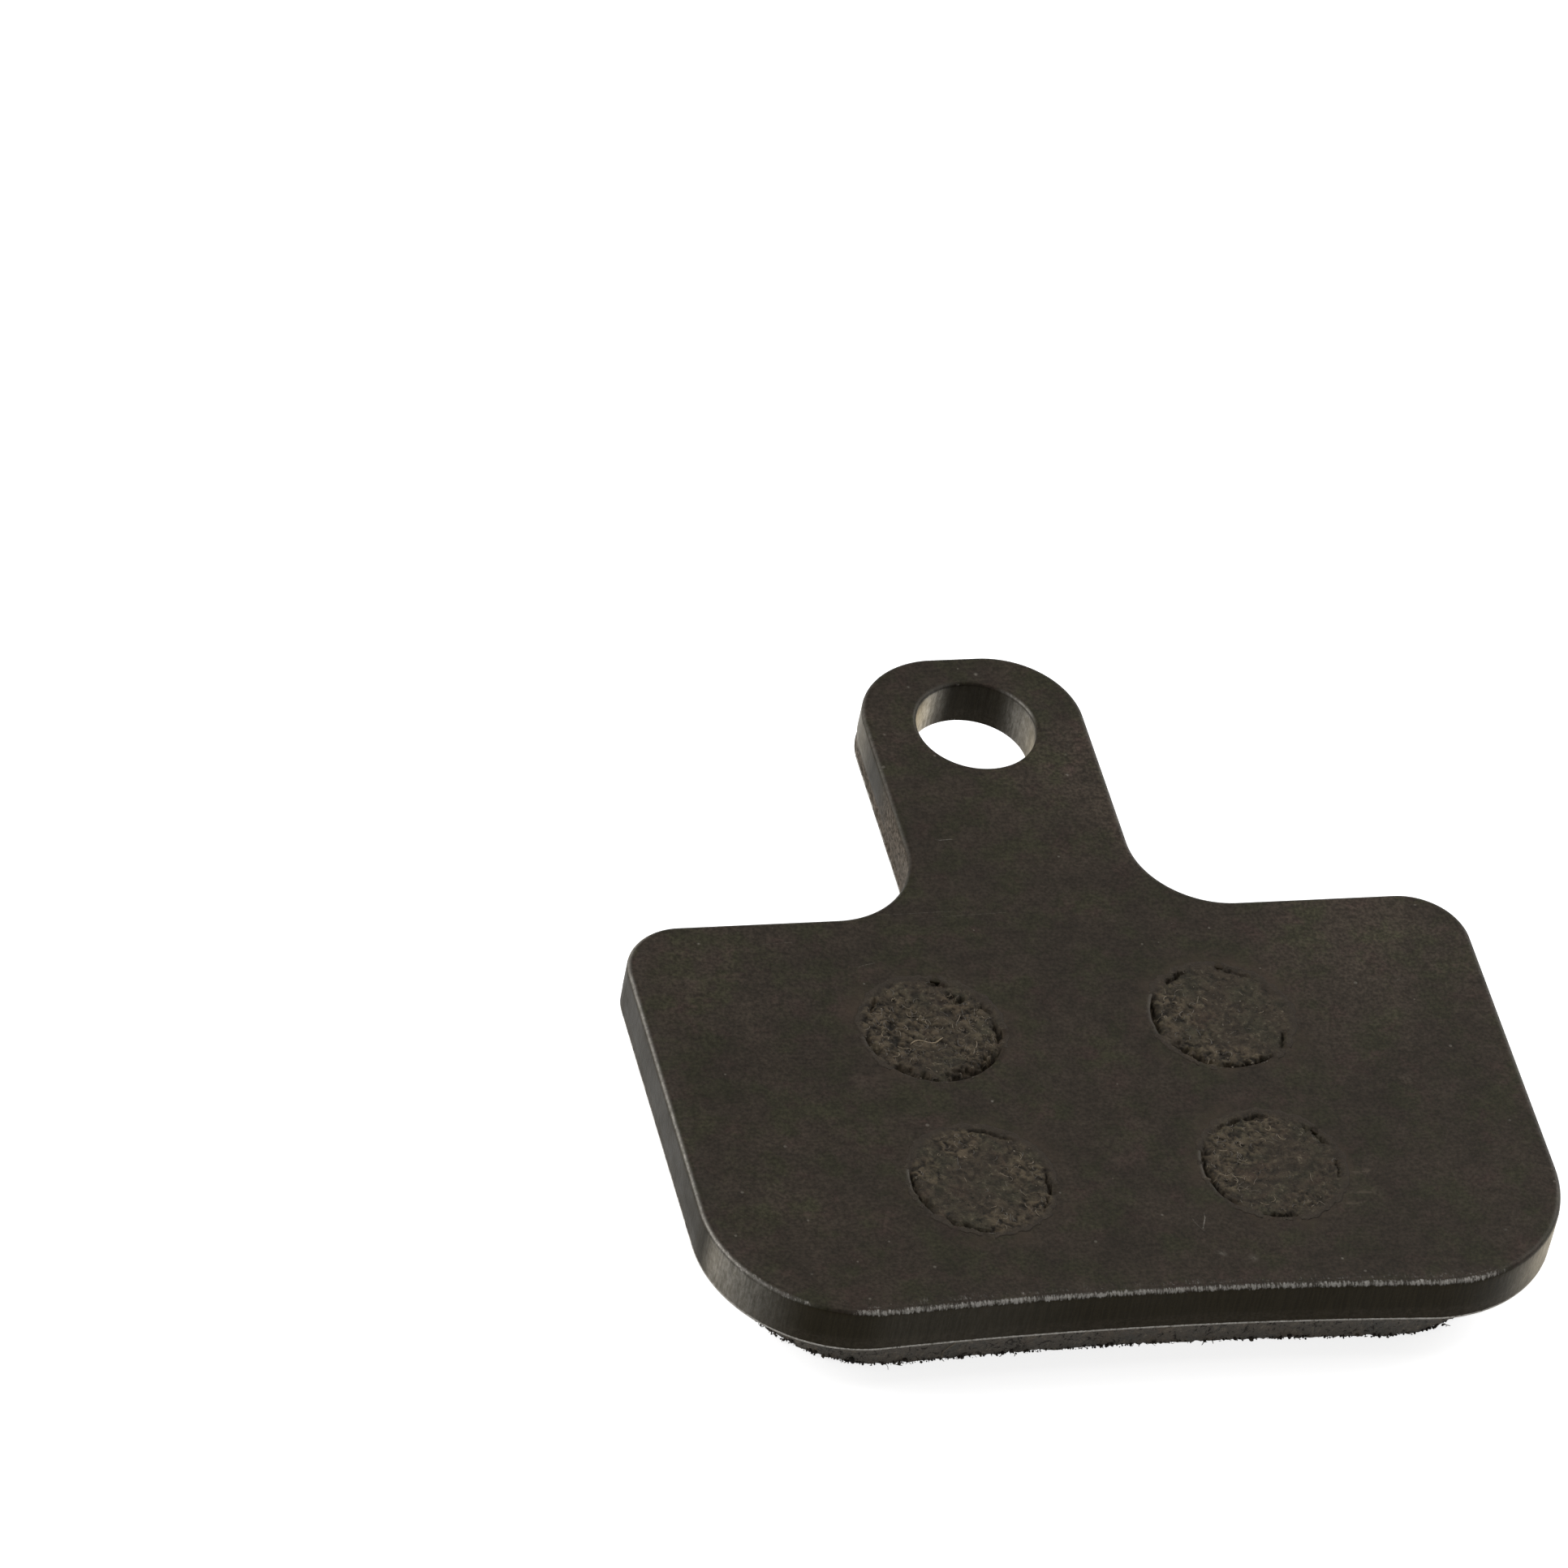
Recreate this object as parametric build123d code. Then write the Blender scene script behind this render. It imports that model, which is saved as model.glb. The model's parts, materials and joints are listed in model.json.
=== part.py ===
from build123d import *
import os

# Bicycle disc brake pad lying on its rubbing face: a blanked steel backing plate, and a block
# of friction compound that was pressed onto it and flowed through its four anchor holes.
# X runs across the pad, +Y towards the hanging tab, +Z from the rubbing face to the back face.
# The origin is under the middle of the outline, in the plane of the rubbing face. Millimetres.

# Backing plate
PLATE_THICKNESS = 1.9
PLATE_WIDTH = 31.3
BODY_HEIGHT = 19.25
SHOULDER_CORNER_RADIUS = 2.3
LOWER_CORNER_RADIUS = 5.35
LOWER_EDGE_HOLLOW = 0.33
DIE_ROLL_RADIUS = 0.2
EDGE_BREAK = 0.08

# Hanging tab with the hole for the pad pin
TAB_WIDTH = 8.3
TAB_CORNER_RADIUS = 3.25
TAB_ROOT_RADIUS = 3.3
PIN_HOLE_DIAMETER = 4.4
PIN_TO_TAB_END = 3.6
PIN_TO_SHOULDER = 9.6

# Anchor holes through the plate, which the friction compound fills
ANCHOR_HOLE_DIAMETER = 5.0
ANCHOR_SPACING_X = 10.65
ANCHOR_SPACING_Y = 7.4
ANCHOR_RECESS = 0.05

# Friction block
FRICTION_THICKNESS = 2.0
SIDE_MARGIN = 1.55
LOWER_MARGIN = 1.1
SHOULDER_MARGIN = 1.7
BLOCK_UPPER_RADIUS = 3.9
BLOCK_LOWER_RADIUS = 4.9
UPPER_EDGE_CROWN = 0.45
FOOT_HEIGHT = 0.3
FOOT_SETBACK = 0.15
LIP_THICKNESS = 0.08
LIP_REACH = 0.07

# Heights above the rubbing face
PLATE_FRONT_Z = FRICTION_THICKNESS
PLATE_BACK_Z = PLATE_FRONT_Z + PLATE_THICKNESS

# Places along Y, with the outline centred on the origin
OVERALL_HEIGHT = BODY_HEIGHT + PIN_TO_SHOULDER + PIN_TO_TAB_END
LOWER_EDGE_Y = -OVERALL_HEIGHT / 2
SHOULDER_Y = LOWER_EDGE_Y + BODY_HEIGHT
PIN_Y = SHOULDER_Y + PIN_TO_SHOULDER
TAB_END_Y = PIN_Y + PIN_TO_TAB_END
BODY_CENTRE_Y = (LOWER_EDGE_Y + LOWER_EDGE_HOLLOW + SHOULDER_Y) / 2
BLOCK_TOP_Y = SHOULDER_Y - SHOULDER_MARGIN


def arc_radius(half_chord, rise):
    """Radius of the arc that rises by a given height over a chord."""
    return (half_chord**2 + rise**2) / (2 * rise)


# Long arcs, tangent to the round corners at their ends: the hollow lower edge of the plate, which
# the block follows at its margin, and the crowned upper edge of the block
BLOCK_WIDTH = PLATE_WIDTH - 2 * SIDE_MARGIN
HOLLOW_RADIUS = arc_radius(PLATE_WIDTH / 2 - LOWER_CORNER_RADIUS, LOWER_EDGE_HOLLOW) - LOWER_CORNER_RADIUS
HOLLOW_CENTRE_Y = LOWER_EDGE_Y + LOWER_EDGE_HOLLOW - HOLLOW_RADIUS
CROWN_RADIUS = arc_radius(BLOCK_WIDTH / 2 - BLOCK_UPPER_RADIUS, UPPER_EDGE_CROWN) + BLOCK_UPPER_RADIUS


def strip_above_hollow(width, margin, upper_y):
    """A strip along the Y axis, from the hollow lower edge plus a margin to a straight upper end."""
    middle_y = (HOLLOW_CENTRE_Y + upper_y) / 2
    strip = Pos(0, middle_y) * Rectangle(width, upper_y - HOLLOW_CENTRE_Y)
    return strip - Pos(0, HOLLOW_CENTRE_Y) * Circle(HOLLOW_RADIUS + margin)


def corners_at(sketch, half_width, y):
    """The two corners of a mirrored outline that lie nearest to plus and minus a half width."""
    targets = [Vector(-half_width, y), Vector(half_width, y)]
    return [min(sketch.vertices(), key=lambda v: (Vector(v) - t).length) for t in targets]


def plate_outline():
    """The blanked outline: a wide body with round corners, and the tab that hangs on the pin."""
    body = strip_above_hollow(PLATE_WIDTH, 0, SHOULDER_Y)
    tab = strip_above_hollow(TAB_WIDTH, LOWER_CORNER_RADIUS, TAB_END_Y)
    outline = body + tab
    outline = fillet(corners_at(outline, TAB_WIDTH / 2, SHOULDER_Y), TAB_ROOT_RADIUS)
    outline = fillet(corners_at(outline, TAB_WIDTH / 2, TAB_END_Y), TAB_CORNER_RADIUS)
    outline = fillet(corners_at(outline, PLATE_WIDTH / 2, SHOULDER_Y), SHOULDER_CORNER_RADIUS)
    return fillet(corners_at(outline, PLATE_WIDTH / 2, LOWER_EDGE_Y), LOWER_CORNER_RADIUS)


def anchor_circles():
    """The four anchor holes, on a rectangle round the middle of the body."""
    spots = Pos(0, BODY_CENTRE_Y) * GridLocations(ANCHOR_SPACING_X, ANCHOR_SPACING_Y, 2, 2)
    return Sketch() + [spot * Circle(ANCHOR_HOLE_DIAMETER / 2) for spot in spots]


def backing_plate():
    """Steel plate: blanked, with the rounded die-roll edge on its back face and a sharper friction
    side, and pierced for the anchors."""
    pin_hole = Pos(0, PIN_Y) * Circle(PIN_HOLE_DIAMETER / 2)
    plate = extrude(Pos(0, 0, PLATE_FRONT_Z) * (plate_outline() - pin_hole), PLATE_THICKNESS)
    plate = fillet(plate.faces().sort_by(Axis.Z)[-1].edges(), DIE_ROLL_RADIUS)
    plate = chamfer(plate.faces().sort_by(Axis.Z)[0].outer_wire().edges(), EDGE_BREAK)
    return plate - extrude(Pos(0, 0, PLATE_FRONT_Z) * anchor_circles(), PLATE_THICKNESS)


def block_outline():
    """Outline of the friction block, set in from the plate's body by its margins."""
    crown = Pos(0, BLOCK_TOP_Y - CROWN_RADIUS) * Circle(CROWN_RADIUS)
    outline = strip_above_hollow(BLOCK_WIDTH, LOWER_MARGIN, BLOCK_TOP_Y) & crown
    outline = fillet(corners_at(outline, BLOCK_WIDTH / 2, BLOCK_TOP_Y), BLOCK_UPPER_RADIUS)
    return fillet(corners_at(outline, BLOCK_WIDTH / 2, LOWER_EDGE_Y), BLOCK_LOWER_RADIUS)


def friction_block():
    """Pressed compound: the wall above the mould's parting lip, the broken foot under it that
    meets the plate, and the plugs that stand in the anchor holes just below the back face."""
    outline = block_outline()
    lip_z = PLATE_FRONT_Z - FOOT_HEIGHT
    wall = extrude(outline, lip_z)
    lip = extrude(Pos(0, 0, lip_z - LIP_THICKNESS) * offset(outline, LIP_REACH), LIP_THICKNESS)
    foot = extrude(Pos(0, 0, lip_z) * offset(outline, -FOOT_SETBACK), FOOT_HEIGHT)
    plug_length = PLATE_THICKNESS - ANCHOR_RECESS
    plugs = extrude(Pos(0, 0, PLATE_FRONT_Z) * anchor_circles(), plug_length)
    return wall + lip + foot + plugs


os.makedirs("parts", exist_ok=True)
export_step(backing_plate(), "parts/backing_plate.step")
export_step(friction_block(), "parts/friction_block.step")
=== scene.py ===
import json
import math
import random

import bmesh
import bpy
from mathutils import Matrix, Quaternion, Vector, kdtree, noise
from mathutils.geometry import delaunay_2d_cdt


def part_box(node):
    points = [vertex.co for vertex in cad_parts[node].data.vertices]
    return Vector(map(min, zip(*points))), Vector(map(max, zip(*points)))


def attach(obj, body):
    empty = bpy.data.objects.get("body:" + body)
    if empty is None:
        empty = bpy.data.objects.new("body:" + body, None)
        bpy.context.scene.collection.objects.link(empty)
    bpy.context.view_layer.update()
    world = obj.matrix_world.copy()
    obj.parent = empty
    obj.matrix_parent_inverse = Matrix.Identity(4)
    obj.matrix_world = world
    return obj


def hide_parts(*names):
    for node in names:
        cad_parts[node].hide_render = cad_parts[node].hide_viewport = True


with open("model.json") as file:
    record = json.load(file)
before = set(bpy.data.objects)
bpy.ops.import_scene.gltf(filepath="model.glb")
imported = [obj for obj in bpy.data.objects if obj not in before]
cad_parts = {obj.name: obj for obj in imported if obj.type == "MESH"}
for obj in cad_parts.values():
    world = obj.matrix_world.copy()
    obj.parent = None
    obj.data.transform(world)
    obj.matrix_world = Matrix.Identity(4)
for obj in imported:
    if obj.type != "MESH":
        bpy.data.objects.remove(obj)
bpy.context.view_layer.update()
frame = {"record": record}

# Backing plate: blank.
# A flat steel plate with a hanging tab, punched out of sheet in one stroke. The punch leaves a
# rounded rim on the back face, a burnished band under it and a torn band on the friction side.
MM = 0.001
plate_low, plate_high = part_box("backing_plate")
front_z = plate_low.z
back_z = plate_high.z
plate_thickness = back_z - front_z
half_width = plate_high.x
lower_y = plate_low.y
tab_end_y = plate_high.y
shoulder_y = lower_y + 19.25 * MM
half_tab = 4.15 * MM
lower_corner_radius = 5.35 * MM
lower_hollow = 0.33 * MM
shoulder_corner_radius = 2.3 * MM
tab_corner_radius = 3.25 * MM
tab_root_radius = 3.3 * MM
edge_step = 0.1 * MM

pin_mount = next(m for m in frame["record"]["mounts"] if m["name"] == "pin_hole")
pin_x, pin_y = pin_mount["pos_m"][:2]
pin_radius = pin_mount["dims"]["r_mm"] * MM
anchor_radius = 2.5 * MM
anchor_wobble = 0.03 * MM
anchor_half_x = 5.325 * MM
anchor_half_y = 3.7 * MM
body_y = (lower_y + lower_hollow + shoulder_y) / 2
anchor_centres = [
    (side * anchor_half_x, body_y + row * anchor_half_y) for row in (1, -1) for side in (-1, 1)
]


def arc_outline(arcs, step):
    """Points (x, y, normal x, normal y) along arcs joined by straight runs, taken counter-clockwise.
    Each arc is (centre x, centre y, radius, first angle, last angle), in degrees. The normals point
    outwards, so on a hollow arc, where the angle falls, they point at the arc's centre."""
    runs = []
    for centre_x, centre_y, radius, first, last in arcs:
        out = math.copysign(1, last - first)
        count = max(2, math.ceil(radius * math.radians(abs(last - first)) / step))
        run = []
        for k in range(count + 1):
            turn = math.radians(first + (last - first) * k / count)
            right, up = math.cos(turn), math.sin(turn)
            run.append((centre_x + radius * right, centre_y + radius * up, out * right, out * up))
        runs.append(run)
    points = []
    for run, following in zip(runs, runs[1:] + runs[:1]):
        start, end = Vector(run[-1][:2]), Vector(following[0][:2])
        count = round((end - start).length / step)
        points += run if count else run[:-1]
        for k in range(1, count):
            points.append((*start.lerp(end, k / count), *run[-1][2:]))
    return points


def hole_outline(centre_x, centre_y, radius, step, wobble=0.0):
    """Points round a hole, with normals that point out of the steel, towards its axis."""
    count = math.ceil(math.tau * radius / step)
    waves = 7
    points = []
    for k in range(count):
        out_x, out_y = math.cos(math.tau * k / count), math.sin(math.tau * k / count)
        spot = Vector((centre_x, centre_y, 0)) / MM + waves * Vector((out_x, out_y, 0))
        reach = radius + wobble * noise.fractal(spot, 0.8, 2.1, 3)
        points.append((centre_x + reach * out_x, centre_y + reach * out_y, -out_x, -out_y))
    return points


class Border:
    """A closed outline that can tell how far inside it a place lies."""

    def __init__(self, outline):
        self.outline = outline
        self.tree = kdtree.KDTree(len(outline))
        for i, (x, y, _, _) in enumerate(outline):
            self.tree.insert((x, y, 0), i)
        self.tree.balance()

    def depth(self, x, y):
        """Distance inwards from the nearest point of the outline."""
        _, i, _ = self.tree.find((x, y, 0))
        px, py, nx, ny = self.outline[i]
        return (px - x) * nx + (py - y) * ny


def scattered_inside(border, circles, spacing, margin, seed):
    """Loose points inside a border and outside circles, on a grid with every point shaken."""
    draw = random.Random(seed)
    xs = [p[0] for p in border.outline]
    ys = [p[1] for p in border.outline]
    shake = 0.3 * spacing
    row_pitch = spacing * math.sqrt(0.75)
    found = []
    row = 0
    y = min(ys)
    while y < max(ys):
        x = min(xs) + (row % 2) * spacing / 2
        while x < max(xs):
            px = x + draw.uniform(-shake, shake)
            py = y + draw.uniform(-shake, shake)
            clear = all(math.hypot(px - cx, py - cy) > r + margin for cx, cy, r in circles)
            if clear and border.depth(px, py) > margin:
                found.append((px, py))
            x += spacing
        y += row_pitch
        row += 1
    return found


class Skin:
    """A closed mesh put together from rings of points, walls between rings and filled faces.
    Each point can carry named masks, which the materials read."""

    def __init__(self, *mask_names):
        self.points = []
        self.faces = []
        self.face_materials = []
        self.masks = {name: [] for name in mask_names}

    def add(self, points, **masks):
        """Adds points, each mask given as one value or as a list. Returns the points' numbers."""
        first = len(self.points)
        self.points += points
        for name, values in self.masks.items():
            given = masks.get(name, 0.0)
            values += given if isinstance(given, list) else [given] * len(points)
        return list(range(first, len(self.points)))

    def face(self, corners, material=0):
        """Adds one face."""
        self.faces.append(tuple(corners))
        self.face_materials.append(material)

    def wall(self, ring_a, ring_b, material=0):
        """Joins two rings of equally many points by a strip of faces."""
        for i in range(len(ring_a)):
            j = (i + 1) % len(ring_a)
            self.face((ring_a[i], ring_a[j], ring_b[j], ring_b[i]), material)

    def encloses(self, ring, x, y):
        """Whether a place lies inside a ring, seen from above: a line from it crosses an odd number
        of the ring's edges."""
        inside = False
        for i, j in zip(ring, ring[1:] + ring[:1]):
            (ax, ay, _), (bx, by, _) = self.points[i], self.points[j]
            if (ay > y) != (by > y) and x < ax + (bx - ax) * (y - ay) / (by - ay):
                inside = not inside
        return inside

    def fill(self, outer, holes=(), inner=(), material=0):
        """Fills a ring with triangles, round its holes and through its inner points."""
        inside_only, tolerance = 1, 1e-6
        index = []
        edges = []
        for ring in (outer, *holes):
            first = len(index)
            edges += [(first + k, first + (k + 1) % len(ring)) for k in range(len(ring))]
            index += ring
        index += inner
        flat = [Vector(self.points[i][:2]) / MM for i in index]
        made = delaunay_2d_cdt(flat, edges, [], inside_only, tolerance)
        triangles, origins = made[2], made[3]
        hole_of = {i: n for n, ring in enumerate(holes) for i in ring}
        for triangle in triangles:
            corners = [index[origins[v][0]] for v in triangle]
            owners = {hole_of.get(i) for i in corners}
            if len(owners) == 1 and owners != {None}:
                x, y = (sum(self.points[i][axis] for i in corners) / 3 for axis in (0, 1))
                if self.encloses(holes[owners.pop()], x, y):
                    continue
            self.face(corners, material)

    def build(self, name, materials, sharp_degrees=180):
        """Makes the piece, smooth but for the edges that are sharper than an angle."""
        mesh = bpy.data.meshes.new(name)
        mesh.from_pydata(self.points, [], self.faces)
        mesh.polygons.foreach_set("material_index", self.face_materials)
        for mask, values in self.masks.items():
            mesh.attributes.new(mask, "FLOAT", "POINT").data.foreach_set("value", values)
        for material in materials:
            mesh.materials.append(material)
        edit = bmesh.new()
        edit.from_mesh(mesh)
        bmesh.ops.recalc_face_normals(edit, faces=edit.faces)
        edit.to_mesh(mesh)
        edit.free()
        mesh.shade_smooth()
        mesh.set_sharp_from_angle(angle=math.radians(sharp_degrees))
        piece = bpy.data.objects.new(name, mesh)
        bpy.context.scene.collection.objects.link(piece)
        return piece


def ramp(value, low, high):
    """0 below low, 1 above high, and a smooth step between them."""
    share = min(1.0, max(0.0, (value - low) / (high - low)))
    return share * share * (3 - 2 * share)


def near(angle, middle, reach, core):
    """1 within the core round a middle angle, 0 out of its reach, all in degrees."""
    return ramp(-abs(angle - middle), -reach, -core)


burnish_depth = 1.2 * MM
tear_inset = 0.015 * MM
tear_grain = 0.2 * MM
tear_relief = 0.06 * MM
drag_relief = 0.005 * MM
drag_pitch = 0.1 * MM
foot_break = 0.11 * MM
rim_flat = 0.06 * MM
rim_middle = math.radians(48)
rim_spread = math.radians(34)
OUTER_ROLL = (0.22 * MM, 0.18 * MM)
PIN_ROLL = (0.18 * MM, 0.16 * MM)
ANCHOR_ROLL = (0.2 * MM, 0.1 * MM)
FACE, WALL = 0, 1


def edge_profile(roll_width, roll_depth):
    """The punched edge from the back face down: (inset, drop, torn share, rim share, foot share)."""
    roll_steps, burnish_steps, tear_steps = 7, 6, 8
    profile = [(roll_width + rim_flat, 0, 0, 0.3, 0)]
    for k in range(roll_steps + 1):
        angle = math.radians(90) * k / roll_steps
        rim = math.exp(-((angle - rim_middle) / rim_spread) ** 2)
        inset = roll_width * (1 - math.sin(angle))
        profile.append((inset, roll_depth * (1 - math.cos(angle)), 0, rim, 0))
    for k in range(1, burnish_steps + 1):
        profile.append((0, roll_depth + (burnish_depth - roll_depth) * k / burnish_steps, 0, 0, 0))
    tear_end = plate_thickness - 1.2 * foot_break
    for k in range(1, tear_steps + 1):
        share = k / tear_steps
        drop = burnish_depth + (tear_end - burnish_depth) * share
        profile.append((tear_inset * share, drop, min(1, 2.5 * share), 0, 0))
    profile += [
        (tear_inset, plate_thickness - foot_break, 0.2, 0, 1),
        (tear_inset, plate_thickness - 0.4 * foot_break, 0, 0, 1),
        (tear_inset + 0.4 * foot_break, plate_thickness, 0, 0, 0.6),
        (tear_inset + 2 * foot_break, plate_thickness, 0, 0, 0),
    ]
    return profile


def tear_share(y):
    """How coarsely the steel tore: most along the narrow tab."""
    return 0.12 + 0.88 * ramp(y, shoulder_y, shoulder_y + 2 * MM)


def tab_tear(x, y):
    """Low on the tab the steel tore over the whole height of the wall."""
    if abs(x) < 0.99 * half_tab:
        return 0.0
    above_root = ramp(y, shoulder_y + 0.6 * MM, shoulder_y + 1.8 * MM)
    return 0.95 * above_root * ramp(-y, 2.2 * MM - pin_y, 4.2 * MM - pin_y)


def haze(x, y):
    """How far the coating is lighter in broad patches: most up the right of the tab and on its shoulder.
    A patch is (x, y, reach, strength), in millimetres."""
    patches = [
        (3.3, 10.6, 2.6, 1.0), (4.4, 6.5, 2.4, 0.4), (11.8, 0.6, 4.2, 0.75),
        (-12.0, 1.2, 3.6, 0.4), (-3.2, 12.0, 1.8, 0.3), (-13.2, -10.5, 2.6, 0.25),
    ]
    total = 0.0
    for patch_x, patch_y, reach, strength in patches:
        away = math.hypot(x / MM - patch_x, y / MM - patch_y)
        total += strength * math.exp(-((away / reach) ** 2))
    return min(1.0, total)


def no_sheen(x, y, nx, ny):
    """A wall or a rim that stays dull."""
    return 0.0


def punched_edge(skin, outline, roll, scuff, sheen, glint=no_sheen, coarseness=1.0):
    """Adds the wall along an outline. Returns its rings on the back face and the friction side. Along
    the outline, scuff says how far the rim is rubbed bare, sheen how bright the wall is painted as
    burnished steel and painted reflection, and glint how bright the rim is painted as worn steel and
    painted highlight."""
    rings = []
    finishes = []
    for inset, drop, torn, rim, foot in edge_profile(*roll):
        torn *= coarseness
        points = []
        for x, y, nx, ny in outline:
            tear = tear_relief * torn * tear_share(y)
            tear *= 0.5 + 0.5 * noise.fractal(Vector((x, y, drop)) / tear_grain, 0.7, 2.2, 3)
            drag = 0
            if drop >= roll[1]:
                streak = abs(noise.noise(Vector((x, y, 0.12 * drop)) / drag_pitch))
                drag = drag_relief * coarseness * streak
            reach = inset + max(0, tear) + drag
            points.append((x - nx * reach, y - ny * reach, back_z - drop))
        under = 1.0 if drop >= plate_thickness and not foot else 0.0
        wall = ramp(drop, 0.3 * roll[1], roll[1]) * (1 - under)
        # The scuff mask is mostly real wear, but on the arris and round the anchor holes partly a painted
        # highlight.
        rubbed = [max(rim, foot) * scuff(*spot, foot) for spot in outline]
        torn_here = [max(torn * tear_share(y), wall * tab_tear(x, y)) for x, y, _, _ in outline]
        # Painted reflection on the walls and painted highlight on the rims, over partly real burnish and
        # wear.
        polished = [
            max(wall * (1 - tear) * sheen(*spot), rim**3 * glint(*spot))
            for tear, spot in zip(torn_here, outline)
        ]
        paled = [(1 - wall) * haze(x, y) for x, y, _, _ in outline]
        rings.append(skin.add(
            points, scuffed=rubbed, polished=polished, torn=torn_here, edge=wall, under=under, haze=paled
        ))
        finishes.append(WALL if wall > 0.5 else FACE)
    for upper, lower, finish in zip(rings, rings[1:], finishes[1:]):
        skin.wall(upper, lower, finish)
    return rings[0], rings[-1]


front_start = -11.8 * MM


def left_of_tab(x):
    """1 on the left of the body, well clear of the tab."""
    return ramp(-x, 2 * half_tab, 2.6 * half_tab)


def low_on_body(y):
    """1 on the lower part of the body, 0 above its middle."""
    return ramp(-y, 0, 5 * MM)


def outer_scuff(x, y, nx, ny, foot):
    """The rim is rubbed bare raggedly along the front, and in chips round the left corner."""
    # On the friction-side arris the steel is bare all round and brightest where it faces the front: partly a
    # bare burr, partly a painted highlight.
    if foot:
        return max(1.6 * ramp(-ny, -0.5, 0.3), 0.5)
    front_edge = 1.1 * ramp(-ny, 0.88, 0.97) * ramp(x, front_start, front_start + 1.0 * MM)
    left_edge = 0.3 * ramp(-nx, 0.4, 0.75) * left_of_tab(x)
    left_corner = 0.66 * ramp(-nx, 0.35, 0.55) * ramp(-ny, 0.1, 0.3) * low_on_body(y)
    return max(front_edge, left_edge, left_corner, 0.15)


def outer_glint(x, y, nx, ny):
    """The rim is a soft bright line down the left edge, faintly so on the front and the tab: partly worn
    coating, partly a painted highlight.
    """
    front_edge = 0.2 * ramp(-ny, 0.88, 0.97) * ramp(x, front_start, front_start + 1.4 * MM)
    left_edge = 0.62 * ramp(-nx, 0.35, 0.75) * left_of_tab(x)
    tab_edge = 0.2 * ramp(-nx, 0.8, 0.98) * ramp(y, shoulder_y + 2 * MM, shoulder_y + 4 * MM)
    return max(front_edge, left_edge, tab_edge)


def outer_sheen(x, y, nx, ny):
    """Burnished steel on the wall, painted bright as a painted reflection, most on the lower left corner."""
    bearing = math.degrees(math.atan2(ny, nx)) % 360
    lower_left = 0.55 * ramp(bearing, 188, 199) * ramp(-bearing, -246, -198)
    lower_right = 0.7 * ramp(bearing, 286, 328) * low_on_body(y)
    front_left = 0.05 * ramp(-ny, 0.9, 0.99) * ramp(x, -11 * MM, -9.5 * MM) * ramp(-x, 2 * MM, 7 * MM)
    tab_corner = 0.22 * ramp(-nx, 0.7, 0.99) * ramp(y, pin_y - 1.5 * MM, pin_y + 0.3 * MM)
    return max(lower_left, lower_right, front_left, tab_corner)


pin_coarseness = 0.15


def pin_scuff(x, y, nx, ny, foot):
    """The pin has rubbed two small patches on the far side of its hole."""
    bearing = math.degrees(math.atan2(-ny, -nx))
    return max(0.6 * near(bearing, 92, 9, 3), 0.5 * near(bearing, 28, 30, 8), 0.15)


def pin_glint(x, y, nx, ny):
    """Round those patches the rim of the hole is worn to a soft sheen."""
    bearing = math.degrees(math.atan2(-ny, -nx))
    return max(0.5 * near(bearing, 28, 34, 8), 0.22 * near(bearing, 116, 26, 6))


def pin_sheen(x, y, nx, ny):
    """Both sides of the hole are bright steel: the pin's polish and a painted reflection."""
    if nx > 0:
        return 0.05 + 1.5 * ramp(nx, 0.1, 0.85)
    return 0.06 + 0.56 * ramp(-nx, 0.6, 1.0)


def anchor_scuff(x, y, nx, ny, foot):
    """The anchor holes keep their coating but for a faint bright line on the rim, on the side away from the
    tab, painted as rubbed steel: a painted highlight.
    """
    return 0.2 + 0.15 * ramp(ny, 0.3, 0.9)


lower_centre_x = half_width - lower_corner_radius
lower_centre_y = lower_y + lower_corner_radius
hollow_radius = (lower_centre_x**2 + lower_hollow**2) / (2 * lower_hollow) - lower_corner_radius
hollow_centre_y = lower_y + lower_hollow - hollow_radius
hollow_slant = math.degrees(math.asin(lower_centre_x / (hollow_radius + lower_corner_radius)))
shoulder_centre_x = half_width - shoulder_corner_radius
shoulder_centre_y = shoulder_y - shoulder_corner_radius
root_centre_x = half_tab + tab_root_radius
root_centre_y = shoulder_y + tab_root_radius
tab_centre_x = half_tab - tab_corner_radius
tab_centre_y = tab_end_y - tab_corner_radius
plate_outline = arc_outline(
    [
        (-lower_centre_x, lower_centre_y, lower_corner_radius, 180, 270 + hollow_slant),
        (0, hollow_centre_y, hollow_radius, 90 + hollow_slant, 90 - hollow_slant),
        (lower_centre_x, lower_centre_y, lower_corner_radius, 270 - hollow_slant, 360),
        (shoulder_centre_x, shoulder_centre_y, shoulder_corner_radius, 0, 90),
        (root_centre_x, root_centre_y, tab_root_radius, 270, 180),
        (tab_centre_x, tab_centre_y, tab_corner_radius, 0, 90),
        (-tab_centre_x, tab_centre_y, tab_corner_radius, 90, 180),
        (-root_centre_x, root_centre_y, tab_root_radius, 0, -90),
        (-shoulder_centre_x, shoulder_centre_y, shoulder_corner_radius, 90, 180),
    ],
    edge_step,
)
plate_holes = [(pin_x, pin_y, pin_radius)] + [(x, y, anchor_radius) for x, y in anchor_centres]
plate_skin = Skin("scuffed", "polished", "torn", "edge", "under", "scratch", "stain", "haze")
back_ring, front_ring = punched_edge(
    plate_skin, plate_outline, OUTER_ROLL, outer_scuff, outer_sheen, outer_glint
)
pin_outline = hole_outline(pin_x, pin_y, pin_radius, edge_step)
hole_rings = [
    punched_edge(plate_skin, pin_outline, PIN_ROLL, pin_scuff, pin_sheen, pin_glint, pin_coarseness)
]
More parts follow.
